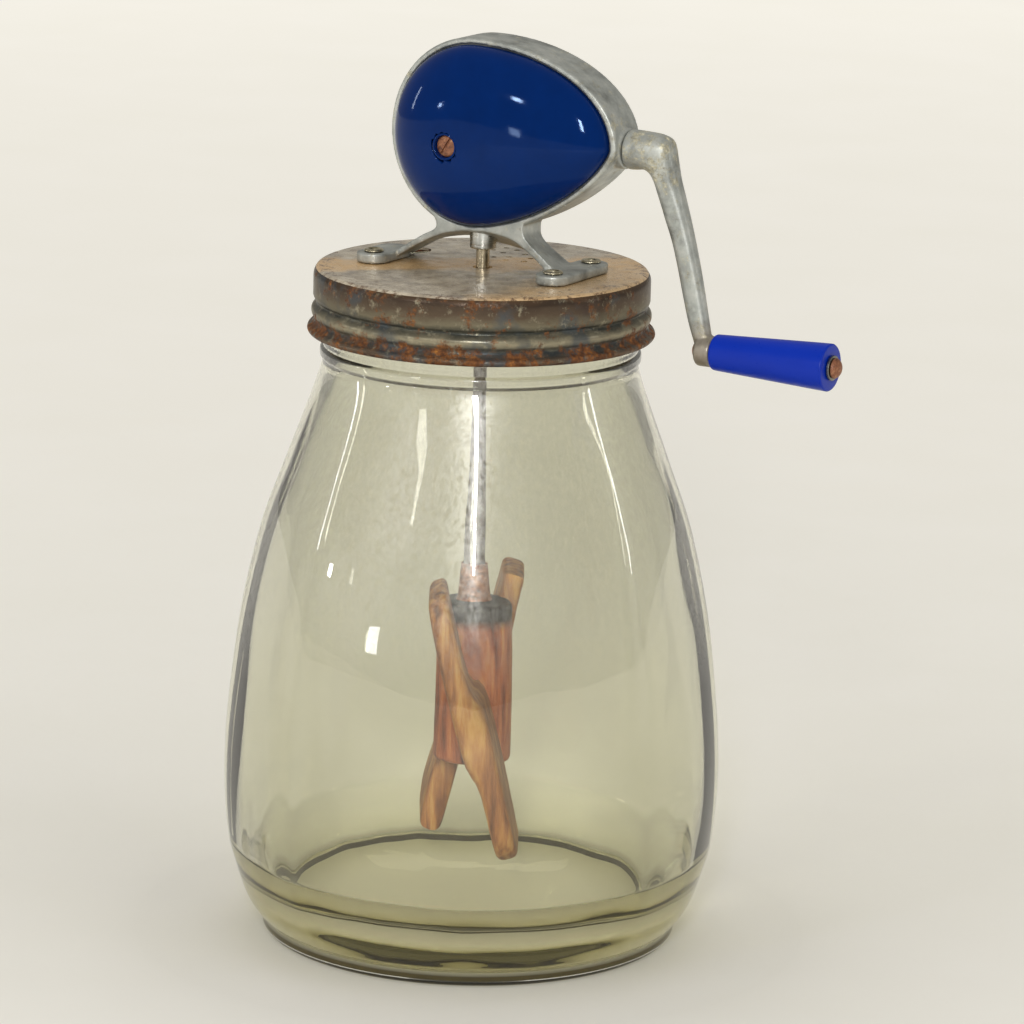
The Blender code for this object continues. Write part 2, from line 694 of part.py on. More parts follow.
def build_bushes(materials):
    bore = SPINDLE_RADIUS + GAP
    collar_top = HEAD_BOTTOM_Z + GAP - 2 * GAP
    stem_top = HEAD_BOTTOM_Z + BOTTOM_BOSS_RISE + GAP
    collar_low = collar_top - BUSH_COLLAR_HEIGHT
    edge = BUSH_COLLAR_RADIUS / 10
    profile = [
        (bore, stem_top), (BUSH_STEM_RADIUS, stem_top), (BUSH_STEM_RADIUS, collar_top),
        (BUSH_COLLAR_RADIUS, collar_top), (BUSH_COLLAR_RADIUS, collar_low + edge),
        (BUSH_COLLAR_RADIUS - edge, collar_low), (bore, collar_low),
    ]
    mesh = turned_mesh("spindle_bush", profile, 24, closed=True)
    add_part("spindle_bush", mesh, materials["bright_steel"])

    inner = CRANK_SHAFT_RADIUS + GAP
    mesh = ring_mesh("crank_bush", inner + CRANK_BUSH_WALL, inner,
                     HEAD_TIP - TIP_BOSS_LENGTH, HEAD_TIP + GAP, 20)
    add_part("crank_bush", placed(mesh, "+X", GEAR_APEX), materials["brass"])
    return stem_top


def gear_mesh(name, teeth, mate_teeth, phase, hub_radius, hub_length, bore):
    """Bevel gear along +Z with its pitch-cone apex at the origin."""
    radius = DRIVE_PITCH_RADIUS * teeth / DRIVE_TEETH
    cone = math.atan2(teeth, mate_teeth)
    slant = radius / math.sin(cone)
    module = 2 * radius / teeth
    pressure = math.tan(math.radians(20))
    tooth_share = 0.38
    pitch_angle = 2 * math.pi / teeth

    def rim(distance, rise):
        scale = distance / slant
        lift = rise * module * scale
        return (distance * math.sin(cone) + lift * math.cos(cone),
                distance * math.cos(cone) - lift * math.sin(cone))

    bm = bmesh.new()

    def point(radial, angle, height):
        return bm.verts.new((radial * math.cos(angle), radial * math.sin(angle), height))

    tip_rise, root_drop = 0.95, -1.20
    ends = []
    for distance in (slant, slant - GEAR_FACE):
        tip = rim(distance, tip_rise)
        root = rim(distance, root_drop)
        half_tip = pitch_angle * tooth_share / 2 - tip_rise * pressure * pitch_angle / math.pi
        half_root = pitch_angle * tooth_share / 2 - root_drop * pressure * pitch_angle / math.pi
        row = []
        for k in range(teeth):
            middle = phase + k * pitch_angle
            row.append((
                point(root[0], middle - half_root, root[1]),
                point(tip[0], middle - half_tip, tip[1]),
                point(tip[0], middle + half_tip, tip[1]),
                point(root[0], middle + half_root, root[1]),
            ))
        ends.append((row, root[1]))
    (large, back), (small, small_back) = ends

    def ring(radial, height):
        verts = []
        for k in range(teeth):
            middle = phase + k * pitch_angle
            verts.append(point(radial, middle - half_root, height))
            verts.append(point(radial, middle + half_root, height))
        return verts

    for k in range(teeth):
        a, b, c, d = large[k]
        e, f, g, h = small[k]
        following_a = large[(k + 1) % teeth][0]
        following_e = small[(k + 1) % teeth][0]
        for face in ((a, b, c, d), (e, f, g, h), (a, b, f, e), (b, c, g, f), (c, d, h, g),
                     (d, following_a, following_e, h)):
            bm.faces.new(face)
    hub_back = back + hub_length
    rows = [
        [v for tooth in large for v in (tooth[0], tooth[3])],
        ring(hub_radius, back), ring(hub_radius, hub_back), ring(bore, hub_back),
        ring(bore, small_back),
        [v for tooth in small for v in (tooth[0], tooth[3])],
    ]
    count = 2 * teeth
    for first, second in zip(rows, rows[1:]):
        for i in range(count):
            j = (i + 1) % count
            bm.faces.new((first[i], first[j], second[j], second[i]))
    bmesh.ops.recalc_face_normals(bm, faces=bm.faces)
    mesh = bpy.data.meshes.new(name)
    bm.to_mesh(mesh)
    bm.free()
    return mesh, hub_back, small_back


def build_drive(materials):
    """Crank shaft, its large bevel gear and the cross pin that keys them."""
    hub_radius = 2.6 * CRANK_SHAFT_RADIUS
    hub_length = 2.6 * CRANK_SHAFT_RADIUS
    mesh, hub_back, _ = gear_mesh("drive_gear", DRIVE_TEETH, PINION_TEETH, 0.0, hub_radius,
                                  hub_length, CRANK_SHAFT_RADIUS + GAP)
    gear = add_part("drive_gear", placed(mesh, "+X", GEAR_APEX), materials["steel"], GEAR_APEX)
    pin_radius = 0.36 * CRANK_SHAFT_RADIUS
    pin_x = hub_back - hub_length / 2
    pin_centre = GEAR_APEX + Vector((pin_x, 0, 0))
    pin_reach = hub_radius - GAP
    cut(gear, drill("drive_pin_hole", "+Z", pin_centre, pin_radius + GAP,
                    -2 * hub_radius, 2 * hub_radius, 10))
    pin = placed(rod_mesh("drive_gear_pin", pin_radius, -pin_reach, pin_reach, 10), "+Z",
                 pin_centre)
    add_part("drive_gear_pin", pin, materials["steel"], GEAR_APEX)

    shaft_left = POST_X - BLOCK_HALF_WIDTH / 3
    socket = 1.8 * CRANK_HUB_RADIUS
    hub_face = HEAD_TIP + 3 * GAP
    shaft_right = hub_face + socket - GAP
    shaft_mesh = rod_mesh("crank_shaft", CRANK_SHAFT_RADIUS, shaft_left, shaft_right, 20, GAP)
    shaft = add_part("crank_shaft", placed(shaft_mesh, "+X", GEAR_APEX),
                     materials["bright_steel"], GEAR_APEX)
    cut(shaft, drill("shaft_pin_hole", "+Z", pin_centre, pin_radius + GAP,
                     -2 * hub_radius, 2 * hub_radius, 10))
    return hub_face, socket


# Crank arm: reach share, drop share, half width and half depth as shares of the hub radius
arm_shares = (
    (0.00, 0.000, 0.93, 0.93), (0.03, 0.000, 1.00, 1.00), (0.17, 0.000, 1.00, 1.00),
    (0.37, 0.012, 1.06, 0.95), (0.47, 0.110, 0.80, 0.82), (0.55, 0.230, 0.68, 0.74),
    (0.68, 0.405, 0.57, 0.66), (0.785, 0.590, 0.52, 0.60), (0.865, 0.765, 0.47, 0.55),
    (0.925, 0.875, 0.44, 0.52), (1.00, 0.950, 0.40, 0.50),
)
# Direction of the arm at each station, in degrees below level
arm_turns = (0, 0, 0, 48, 68, 70, 72, 77, 80, 82, 84)


def build_crank(materials, hub_face, socket):
    loops = []
    sides = 14
    eye_x = hub_face + CRANK_REACH - 0.5 * CRANK_HUB_RADIUS
    reach = eye_x - hub_face
    for (run, drop, width, depth), turn in zip(arm_shares, arm_turns):
        centre = Vector((hub_face + run * reach, 0, AXIS_Z - drop * CRANK_THROW))
        angle = math.radians(turn)
        across = Vector((math.sin(angle), 0, math.cos(angle)))
        loop = []
        for i in range(sides):
            around = 2 * math.pi * i / sides
            out = width * CRANK_HUB_RADIUS * math.cos(around)
            deep = depth * CRANK_HUB_RADIUS * math.sin(around)
            loop.append(centre + across * out + Vector((0, deep, 0)))
        loops.append(loop)
    mesh = lofted_mesh("crank_arm", loops)
    origin = Vector((hub_face, 0, AXIS_Z))
    arm = add_part("crank_arm", mesh, materials["alloy"], origin)
    eye_radius = 0.78 * CRANK_HUB_RADIUS
    eye_half = 0.45 * CRANK_HUB_RADIUS
    eye = Vector((eye_x, 0, AXIS_Z - CRANK_THROW))
    eye_mesh = rod_mesh("crank_eye", eye_radius, -eye_half, eye_half, 24, eye_half / 5)
    join(arm, add_cutter("crank_eye", placed(eye_mesh, "+X", eye)))
    cut(arm, drill("crank_socket", "+X", (hub_face, 0, AXIS_Z), CRANK_SHAFT_RADIUS + GAP,
                   -socket, socket, 20))
    pin_radius = 0.29 * CRANK_HUB_RADIUS
    cut(arm, drill("crank_eye_hole", "+X", eye, pin_radius + GAP, -4 * eye_half, 4 * eye_half, 16))

    grip_left = eye_half + GAP
    grip_right = grip_left + GRIP_LENGTH
    edge = GRIP_LARGE_RADIUS / 9
    bore = pin_radius + GAP
    grip_profile = [
        (bore, grip_right), (GRIP_LARGE_RADIUS - edge, grip_right),
        (GRIP_LARGE_RADIUS, grip_right - edge),
        (GRIP_SMALL_RADIUS, grip_left + edge), (GRIP_SMALL_RADIUS - edge, grip_left),
        (bore, grip_left),
    ]
    grip = turned_mesh("handle_grip", grip_profile, 28, closed=True)
    add_part("handle_grip", placed(grip, "+X", eye), materials["grip"], eye)

    washer_left = grip_right + GAP
    washer_right = washer_left + edge
    washer_radius = 0.53 * GRIP_LARGE_RADIUS
    washer = ring_mesh("handle_washer", washer_radius, pin_radius + GAP, washer_left,
                       washer_right, 20)
    add_part("handle_washer", placed(washer, "+X", eye), materials["dull_steel"], eye)

    head_left = washer_right + GAP
    head_radius = 0.43 * GRIP_LARGE_RADIUS
    head_rise = 0.68 * head_radius
    tail_right = -eye_half - GAP
    tail_radius = 1.5 * pin_radius
    tail_rise = 0.5 * tail_radius
    pin_profile = [
        (0, head_left + head_rise), (0.45 * head_radius, head_left + 0.90 * head_rise),
        (0.80 * head_radius, head_left + 0.60 * head_rise), (head_radius, head_left + 0.15 * head_rise),
        (head_radius, head_left), (pin_radius, head_left), (pin_radius, tail_right),
        (tail_radius, tail_right), (0.85 * tail_radius, tail_right - 0.6 * tail_rise),
        (0.4 * tail_radius, tail_right - tail_rise), (0, tail_right - tail_rise),
    ]
    pin = turned_mesh("handle_pin", pin_profile, 16)
    add_part("handle_pin", placed(pin, "+X", eye), materials["rusty_steel"], eye)


def build_spindle(materials, bush_top):
    """Spindle, its small bevel gear, thrust washer and cross pin."""
    washer_low = bush_top + GAP
    washer_height = 0.34 * SPINDLE_RADIUS
    washer_radius = 2.4 * SPINDLE_RADIUS
    washer = ring_mesh("thrust_washer", washer_radius, SPINDLE_RADIUS + GAP, washer_low,
                       washer_low + washer_height, 20)
    add_part("thrust_washer", washer, materials["brass"], (0, 0, washer_low))

    module = 2 * DRIVE_PITCH_RADIUS / DRIVE_TEETH
    hub_radius = 2.3 * SPINDLE_RADIUS
    root_back = DRIVE_PITCH_RADIUS + 1.20 * module * math.sin(math.atan2(PINION_TEETH, DRIVE_TEETH))
    hub_low = washer_low + washer_height + GAP
    hub_length = AXIS_Z - root_back - hub_low
    mesh, hub_back, small_face = gear_mesh("pinion_gear", PINION_TEETH, DRIVE_TEETH,
                                           math.pi / PINION_TEETH, hub_radius, hub_length,
                                           SPINDLE_RADIUS + GAP)
    gear = add_part("pinion_gear", placed(mesh, "-Z", GEAR_APEX), materials["brass"], GEAR_APEX)
    pin_radius = 0.32 * SPINDLE_RADIUS
    pin_centre = Vector((0, 0, hub_low + hub_length / 2))
    pin_reach = hub_radius - GAP
    cut(gear, drill("pinion_pin_hole", "+X", pin_centre, pin_radius + GAP,
                    -2 * hub_radius, 2 * hub_radius, 10))
    pin = placed(rod_mesh("pinion_pin", pin_radius, -pin_reach, pin_reach, 10), "+X", pin_centre)
    add_part("pinion_pin", pin, materials["steel"], pin_centre)

    shaft_top = AXIS_Z - small_face + SPINDLE_RADIUS / 2
    shaft_low = HUB_TOP_Z - 8 * SPINDLE_RADIUS
    shaft_mesh = rod_mesh("spindle_shaft", SPINDLE_RADIUS, shaft_low, shaft_top, 20, GAP)
    shaft = add_part("spindle_shaft", shaft_mesh, materials["bright_steel"], (0, 0, AXIS_Z))
    cut(shaft, drill("spindle_pin_hole", "+X", pin_centre, pin_radius + GAP,
                     -2 * hub_radius, 2 * hub_radius, 10))
    return shaft, shaft_low


def blade_mesh(name, grow):
    """Slanted paddle pointing along +X, with rounded ends; grow swells it for its slot."""
    root = 0.43 * HUB_RADIUS
    half_length = BLADE_LENGTH / 2
    half_thick = BLADE_THICKNESS / 2 + grow
    bevel = 0.34 * BLADE_THICKNESS
    corner = 1.4 * BLADE_THICKNESS
    high = half_length + grow
    tip = BLADE_REACH + grow
    low = root - grow
    steps = 4
    outline = [(low, -high)]
    for centre_z, start in ((-high + corner, -90), (high - corner, 0)):
        for i in range(steps + 1):
            angle = math.radians(start + 90 * i / steps)
            outline.append((tip - corner + corner * math.cos(angle),
                            centre_z + corner * math.sin(angle)))
    outline.append((low, high))
    mesh = extruded_mesh(name, outline, lambda p: (p[0], -half_thick, p[1]),
                         Vector((0, 2 * half_thick, 0)))
    if grow == 0:
        bm = bmesh.new()
        bm.from_mesh(mesh)
        rims = [e for e in bm.edges if abs(e.verts[0].co.y - e.verts[1].co.y) < GAP
                and min(e.verts[0].co.x, e.verts[1].co.x) > low + GAP]
        rims += [e for e in bm.edges if abs(e.verts[0].co.y - e.verts[1].co.y) < GAP
                 and abs(e.verts[0].co.z - e.verts[1].co.z) < GAP and e not in rims]
        bmesh.ops.bevel(bm, geom=rims, offset=bevel, offset_type="OFFSET", segments=2,
                        profile=0.5, affect="EDGES", material=-1)
        bm.to_mesh(mesh)
        bm.free()
        shade_smooth_by_angle(mesh, 35)
    mesh.transform(Matrix.Rotation(math.radians(BLADE_SLANT_DEG), 4, "X"))
    return mesh


def build_beater(materials, shaft, shaft_low):
    """Turned wooden hub with two slanted wooden paddles let into it."""
    edge = HUB_RADIUS / 6
    hub_profile = [
        (0, HUB_TOP_Z), (HUB_RADIUS - 2 * edge, HUB_TOP_Z),
        (HUB_RADIUS - edge / 2, HUB_TOP_Z - edge / 2), (HUB_RADIUS, HUB_TOP_Z - 2 * edge),
        (HUB_RADIUS, HUB_BOTTOM_Z + 2 * edge), (HUB_RADIUS - edge / 2, HUB_BOTTOM_Z + edge / 2),
        (HUB_RADIUS - 2 * edge, HUB_BOTTOM_Z), (0, HUB_BOTTOM_Z),
    ]
    mesh = turned_mesh("beater_hub", hub_profile, 24)
    hub = add_part("beater_hub", mesh, materials["wood"], (0, 0, HUB_TOP_Z))
    centre = Vector((0, 0, BEATER_CENTRE_Z))
    heading = math.radians(BLADE_HEADING_DEG - 90)
    for name, angle in (("front", heading), ("rear", heading + math.pi)):
        turn = Matrix.Translation(centre) @ Matrix.Rotation(angle, 4, "Z")
        blade = blade_mesh("beater_blade_" + name, 0.0)
        blade.transform(turn)
        add_part("beater_blade_" + name, blade, materials["wood"], centre)
        slot = blade_mesh("slot_" + name, GAP)
        slot.transform(turn)
        cut(hub, add_cutter("slot_" + name, slot))
    cut(hub, drill("hub_bore", "+Z", (0, 0, shaft_low - GAP), SPINDLE_RADIUS + GAP, 0,
                   HUB_TOP_Z, 16))
    pin_radius = 0.45 * SPINDLE_RADIUS
    pin_place = Vector((0, 0, HUB_TOP_Z - 0.9 * HUB_RADIUS))
    pin_reach = HUB_RADIUS - 3 * GAP
    cross = Matrix.Translation(pin_place) @ Matrix.Rotation(heading, 4, "Z") @ along("+Y")
    pin = rod_mesh("hub_pin", pin_radius, -pin_reach, pin_reach, 10)
    pin.transform(cross)
    add_part("hub_pin", pin, materials["steel"], pin_place)
    hole = rod_mesh("hub_pin_hole", pin_radius + GAP, -2 * HUB_RADIUS, 2 * HUB_RADIUS, 10)
    hole.transform(cross)
    cutter = add_cutter("hub_pin_hole", hole)
    cut(hub, cutter)
    cut(shaft, cutter)

    ferrule_low = HUB_TOP_Z + GAP
    ferrule_high = ferrule_low + 5.4 * SPINDLE_RADIUS
    bore = SPINDLE_RADIUS + GAP
    ferrule_profile = [
        (bore, ferrule_high), (bore + 1.5 * GAP, ferrule_high),
        (1.65 * SPINDLE_RADIUS, ferrule_low + 0.5 * SPINDLE_RADIUS),
        (1.9 * SPINDLE_RADIUS, ferrule_low), (bore, ferrule_low),
    ]
    ferrule = turned_mesh("beater_ferrule", ferrule_profile, 20, closed=True)
    add_part("beater_ferrule", ferrule, materials["dull_steel"], (0, 0, ferrule_low))


def main():
    global parts, cutters
    clear_scene()
    parts = bpy.data.collections.new("butter_churn")
    cutters = bpy.data.collections.new("cutters")
    bpy.context.scene.collection.children.link(parts)
    bpy.context.scene.collection.children.link(cutters)
    materials = {
        "glass": make_material("pressed_glass", (0.80, 0.86, 0.72), 0.0, 0.05, 0.35, 0.9),
        "rubber": make_material("seal_rubber", (0.42, 0.20, 0.12), 0.0, 0.8),
        "tin": make_material("tinplate", (0.46, 0.42, 0.36), 1.0, 0.45),
        "alloy": make_material("cast_alloy", (0.50, 0.52, 0.52), 1.0, 0.42),
        "cover": make_material("blue_cover", (0.010, 0.035, 0.16), 0.0, 0.12),
        "grip": make_material("blue_grip", (0.012, 0.055, 0.52), 0.0, 0.22),
        "steel": make_material("plain_steel", (0.50, 0.50, 0.49), 1.0, 0.35),
        "bright_steel": make_material("bright_steel", (0.66, 0.64, 0.60), 1.0, 0.22),
        "dull_steel": make_material("dull_steel", (0.36, 0.37, 0.33), 1.0, 0.5),
        "rusty_steel": make_material("rusty_steel", (0.28, 0.14, 0.08), 0.6, 0.6),
        "brass": make_material("brass", (0.62, 0.46, 0.20), 1.0, 0.3),
        "wood": make_material("beater_wood", (0.42, 0.17, 0.07), 0.0, 0.5),
    }
    build_jar(materials)
    build_seal(materials)
    build_lid(materials, RIVET_HOLE_RADIUS)
    build_frame(materials)
    build_rivets(materials["brass"])
    build_cover("front_cover", -1, materials["cover"])
    build_cover("rear_cover", 1, materials["cover"])
    build_cover_screw("front_cover_screw", -1, materials["rusty_steel"])
    build_cover_screw("rear_cover_screw", 1, materials["rusty_steel"])
    bush_top = build_bushes(materials)
    hub_face, socket = build_drive(materials)
    build_crank(materials, hub_face, socket)
    shaft, shaft_low = build_spindle(materials, bush_top)
    build_beater(materials, shaft, shaft_low)
    bpy.context.view_layer.update()


main()
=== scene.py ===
"""Looks of a hand cranked glass butter churn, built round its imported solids."""

import math

import bmesh
import bpy
from mathutils import Matrix, Vector, noise


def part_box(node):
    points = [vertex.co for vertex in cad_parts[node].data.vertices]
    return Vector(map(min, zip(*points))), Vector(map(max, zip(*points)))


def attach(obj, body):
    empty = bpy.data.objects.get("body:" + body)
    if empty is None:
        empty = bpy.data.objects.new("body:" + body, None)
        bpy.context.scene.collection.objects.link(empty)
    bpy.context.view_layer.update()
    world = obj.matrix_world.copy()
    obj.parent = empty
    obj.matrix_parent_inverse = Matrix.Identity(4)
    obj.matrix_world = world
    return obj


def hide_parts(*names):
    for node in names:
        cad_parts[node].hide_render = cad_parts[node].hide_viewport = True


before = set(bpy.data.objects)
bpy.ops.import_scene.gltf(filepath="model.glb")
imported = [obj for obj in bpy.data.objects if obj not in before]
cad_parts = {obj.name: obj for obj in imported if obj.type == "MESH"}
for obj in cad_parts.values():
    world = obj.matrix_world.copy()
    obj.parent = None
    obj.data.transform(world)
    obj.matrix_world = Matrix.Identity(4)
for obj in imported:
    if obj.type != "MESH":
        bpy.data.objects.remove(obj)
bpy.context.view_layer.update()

MM = 0.001
TURN = 2 * math.pi
# Points closer than this are one point
MERGE = 0.01 * MM
# Play between pieces that fit one another
GAP = 0.3 * MM
# From the middle of the arm's eye to the near end of the grip
EYE_TO_GRIP = 3.4 * MM
# Feet that a rivet holds to the lid
RIVETED_FEET = ("left_front", "right_front", "right_rear")


def middle_of(node):
    """The middle of a solid's box."""
    low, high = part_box(node)
    return (low + high) / 2


# Places that the solids give
AXIS_Z = middle_of("crank_shaft").z
LID_TOP_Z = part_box("lid_cap")[1].z
LID_LOW_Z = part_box("lid_cap")[0].z
JAR_RIM_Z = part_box("glass_jar")[1].z
COLLAR_LOW_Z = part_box("spindle_bush")[0].z
FERRULE_LOW, FERRULE_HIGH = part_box("beater_ferrule")
HUB_LOW, HUB_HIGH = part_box("beater_hub")
GRIP_LOW, GRIP_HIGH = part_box("handle_grip")
HUB_FACE_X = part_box("crank_arm")[0].x
EYE = Vector((GRIP_LOW.x - EYE_TO_GRIP, 0, middle_of("handle_grip").z))
SCREW = middle_of("front_cover_screw")


def linear(hex_colour):
    """The linear colour of an sRGB hex value."""
    parts = [int(hex_colour[i:i + 2], 16) / 255 for i in (1, 3, 5)]
    return tuple(p / 12.92 if p <= 0.04045 else ((p + 0.055) / 1.055) ** 2.4 for p in parts) + (1.0,)


def add_node(tree, kind, inputs=None, stops=None, **settings):
    """Add a node with its settings; each input takes a value, a colour or another node."""
    made = tree.nodes.new(kind)
    for name, value in settings.items():
        setattr(made, name, value)
    for socket, value in (inputs or {}).items():
        if isinstance(value, bpy.types.Node):
            value = next(output for output in value.outputs if output.enabled)
        if isinstance(value, bpy.types.NodeSocket):
            tree.links.new(value, made.inputs[socket])
        else:
            made.inputs[socket].default_value = linear(value) if isinstance(value, str) else value
    for i, (position, colour) in enumerate(stops or ()):
        elements = made.color_ramp.elements
        element = elements[i] if i < 2 else elements.new(position)
        element.position = position
        element.color = linear(colour)
    return made


def new_finish(name, **constants):
    """A material with plain values set on its shader, and its tree and shader."""
    material = bpy.data.materials.new(name)
    material.use_nodes = True
    shader = material.node_tree.nodes["Principled BSDF"]
    for socket, value in constants.items():
        shader.inputs[socket.replace("_", " ")].default_value = value
    return material, material.node_tree, shader


def feed(tree, shader, **sockets):
    """Link nodes to a shader's sockets; an underscore stands for a space."""
    for socket, source in sockets.items():
        output = next(output for output in source.outputs if output.enabled)
        tree.links.new(output, shader.inputs[socket.replace("_", " ")])


def mottle(tree, size_mm, detail=4.0, roughness=0.55, stretch=(1, 1, 1), shift=0.0):
    """Cloudy values round 0.5 whose lumps are about size_mm across."""
    place = add_node(tree, "ShaderNodeTexCoord").outputs["Object"]
    moved = add_node(tree, "ShaderNodeMapping", {
        "Vector": place, "Location": (shift, 0.7 * shift, -shift), "Scale": stretch})
    return add_node(tree, "ShaderNodeTexNoise", {
        "Vector": moved, "Scale": 1 / (size_mm * MM), "Detail": detail, "Roughness": roughness})


def patches(tree, size_mm, low, high, reach=1.0, **pattern):
    """0 outside patches about size_mm across and reach inside, soft from low to high."""
    return add_node(tree, "ShaderNodeMapRange", {
        0: mottle(tree, size_mm, **pattern), 1: low, 2: high, 3: 0.0, 4: reach})


def level(tree, low, high, reach=1.0):
    """0 at and below one height, reach at and above another."""
    place = add_node(tree, "ShaderNodeTexCoord").outputs["Object"]
    height = add_node(tree, "ShaderNodeSeparateXYZ", {0: place}).outputs["Z"]
    return add_node(tree, "ShaderNodeMapRange", {0: height, 1: low, 2: high, 3: 0.0, 4: reach})


def tinplate_skirt():
    """Old rolled tinplate with orange-brown rust, in bands of painted light by height: brown above,
    darkened as a painted reflection, yellow-grey below, a painted highlight on the bead, and painted
    shade in the groove and trough.
    """
    material, tree, shader = new_finish("tinplate_skirt", Specular_Tint=(0.40, 0.37, 0.33, 1))
    wavy = add_node(tree, "ShaderNodeMapRange", {
        0: mottle(tree, 9, 6, 0.65, stretch=(1, 1, 2.2)), 1: 0.0, 2: 1.0, 3: -0.12, 4: 0.12})
    height = add_node(tree, "ShaderNodeMath", {
        0: level(tree, LID_LOW_Z, LID_TOP_Z), 1: wavy}, operation="ADD")
    # Painted light by height: a painted highlight on the bead, painted shade in the groove and trough,
    # and a painted dark reflection on the upper band
    tin_and_painted_bands = add_node(tree, "ShaderNodeValToRGB", {0: height}, stops=[
        (0.00, "#38241b"), (1.00, "#5c4735"), (0.07, "#67594a"), (0.19, "#33383a"), (0.33, "#8d856f"),
        (0.47, "#343734"), (0.60, "#6d6654"), (0.74, "#55483b"), (0.90, "#43372e")])
    cool = patches(tree, 16, 0.52, 0.62, 0.7, detail=3, shift=12.0)
    tone = add_node(tree, "ShaderNodeMix", {0: cool, 6: tin_and_painted_bands, 7: "#454c51"}, data_type="RGBA")
    scale = patches(tree, 4.5, 0.55, 0.66, 0.6, detail=8, roughness=0.78, shift=8.3)
    pale = add_node(tree, "ShaderNodeMix", {0: scale, 6: tone, 7: "#a8a088"}, data_type="RGBA")
    low_down = add_node(tree, "ShaderNodeMath", {
        0: 0.08, 1: level(tree, LID_LOW_Z + 5 * MM, LID_LOW_Z + 9 * MM, 0.08)}, operation="SUBTRACT")
    cloud = add_node(tree, "ShaderNodeMath", {
        0: mottle(tree, 8, 8, 0.74, shift=3.1), 1: low_down}, operation="ADD")
    rusted = add_node(tree, "ShaderNodeMapRange", {0: cloud, 1: 0.54, 2: 0.62, 3: 0.0, 4: 0.9})
    rust = add_node(tree, "ShaderNodeValToRGB", {0: mottle(tree, 2.4, 6, 0.75, shift=5.0)}, stops=[
        (0.30, "#2e1a10"), (0.74, "#b98035"), (0.46, "#57341c"), (0.60, "#855227")])
    crust = add_node(tree, "ShaderNodeMath", {
        0: rusted, 1: mottle(tree, 1.6, 5, 0.7)}, operation="ADD")
    feed(tree, shader,
         Base_Color=add_node(tree, "ShaderNodeMix", {0: rusted, 6: pale, 7: rust}, data_type="RGBA"),
         Metallic=add_node(tree, "ShaderNodeMapRange", {0: rusted, 1: 0.0, 2: 0.9, 3: 0.50, 4: 0.05}),
         Roughness=add_node(tree, "ShaderNodeMapRange", {0: rusted, 1: 0.0, 2: 0.9, 3: 0.29, 4: 0.7}),
         Normal=add_node(tree, "ShaderNodeBump", {"Height": crust, "Distance": 0.05 * MM}))
    return material


def tinplate_top():
    """Worn flat tinplate: pale beige patina, a tan stain across it and by the feet, brown specks."""
    material, tree, shader = new_finish("tinplate_top")
    patina = add_node(tree, "ShaderNodeValToRGB", {0: mottle(tree, 7, 8, 0.68)}, stops=[
        (0.32, "#85796a"), (0.70, "#ccc1ad"), (0.46, "#a69a87"), (0.58, "#beb29d")])
    place = add_node(tree, "ShaderNodeTexCoord").outputs["Object"]
    turned = add_node(tree, "ShaderNodeMapping", {"Vector": place, "Rotation": (0, 0, -0.66)})
    wander = add_node(tree, "ShaderNodeMapRange", {
        0: mottle(tree, 14, 4), 1: 0.0, 2: 1.0, 3: -14 * MM, 4: 14 * MM})
    across = add_node(tree, "ShaderNodeMath", {
        0: add_node(tree, "ShaderNodeSeparateXYZ", {0: turned}).outputs["Y"], 1: wander}, operation="ADD")
    beside = add_node(tree, "ShaderNodeMath", {
        0: add_node(tree, "ShaderNodeSeparateXYZ", {0: place}).outputs["X"], 1: wander}, operation="ADD")
    front = add_node(tree, "ShaderNodeMapRange", {0: across, 1: -9 * MM, 2: -2 * MM, 3: 0.0, 4: 0.85})
    rear = add_node(tree, "ShaderNodeMapRange", {0: across, 1: 12 * MM, 2: 20 * MM, 3: 1.0, 4: 0.0})
    streak = add_node(tree, "ShaderNodeMath", {0: front, 1: rear}, operation="MULTIPLY")
    foot = add_node(tree, "ShaderNodeMapRange", {0: beside, 1: 24 * MM, 2: 34 * MM, 3: 0.0, 4: 0.7})
    stained = add_node(tree, "ShaderNodeMath", {0: streak, 1: foot}, operation="MAXIMUM")
    warm = add_node(tree, "ShaderNodeMix", {0: stained, 6: patina, 7: "#d2ac78"}, data_type="RGBA")
    rim = add_node(tree, "ShaderNodeMapRange", {
        0: add_node(tree, "ShaderNodeVectorMath", {
            0: place, 1: (0, 0, LID_TOP_Z)}, operation="DISTANCE").outputs["Value"],
        1: 42 * MM, 2: 57 * MM, 3: 0.0, 4: 0.09})
    cloud = add_node(tree, "ShaderNodeMath", {
        0: mottle(tree, 3.0, 7, 0.8, shift=2.0), 1: rim}, operation="ADD")
    pitted = add_node(tree, "ShaderNodeMapRange", {0: cloud, 1: 0.60, 2: 0.68, 3: 0.0, 4: 0.9})
    feed(tree, shader,
         Base_Color=add_node(tree, "ShaderNodeMix", {0: pitted, 6: warm, 7: "#5a4130"}, data_type="RGBA"),
         Metallic=add_node(tree, "ShaderNodeMapRange", {0: pitted, 1: 0.0, 2: 0.9, 3: 0.22, 4: 0.1}),
         Roughness=add_node(tree, "ShaderNodeMapRange", {
             0: mottle(tree, 5, 5, 0.6, shift=9.0), 1: 0.35, 2: 0.7, 3: 0.14, 4: 0.42}),
         Normal=add_node(tree, "ShaderNodeBump", {
             "Height": mottle(tree, 1.2, 4, 0.7), "Distance": 0.012 * MM}))
    return material


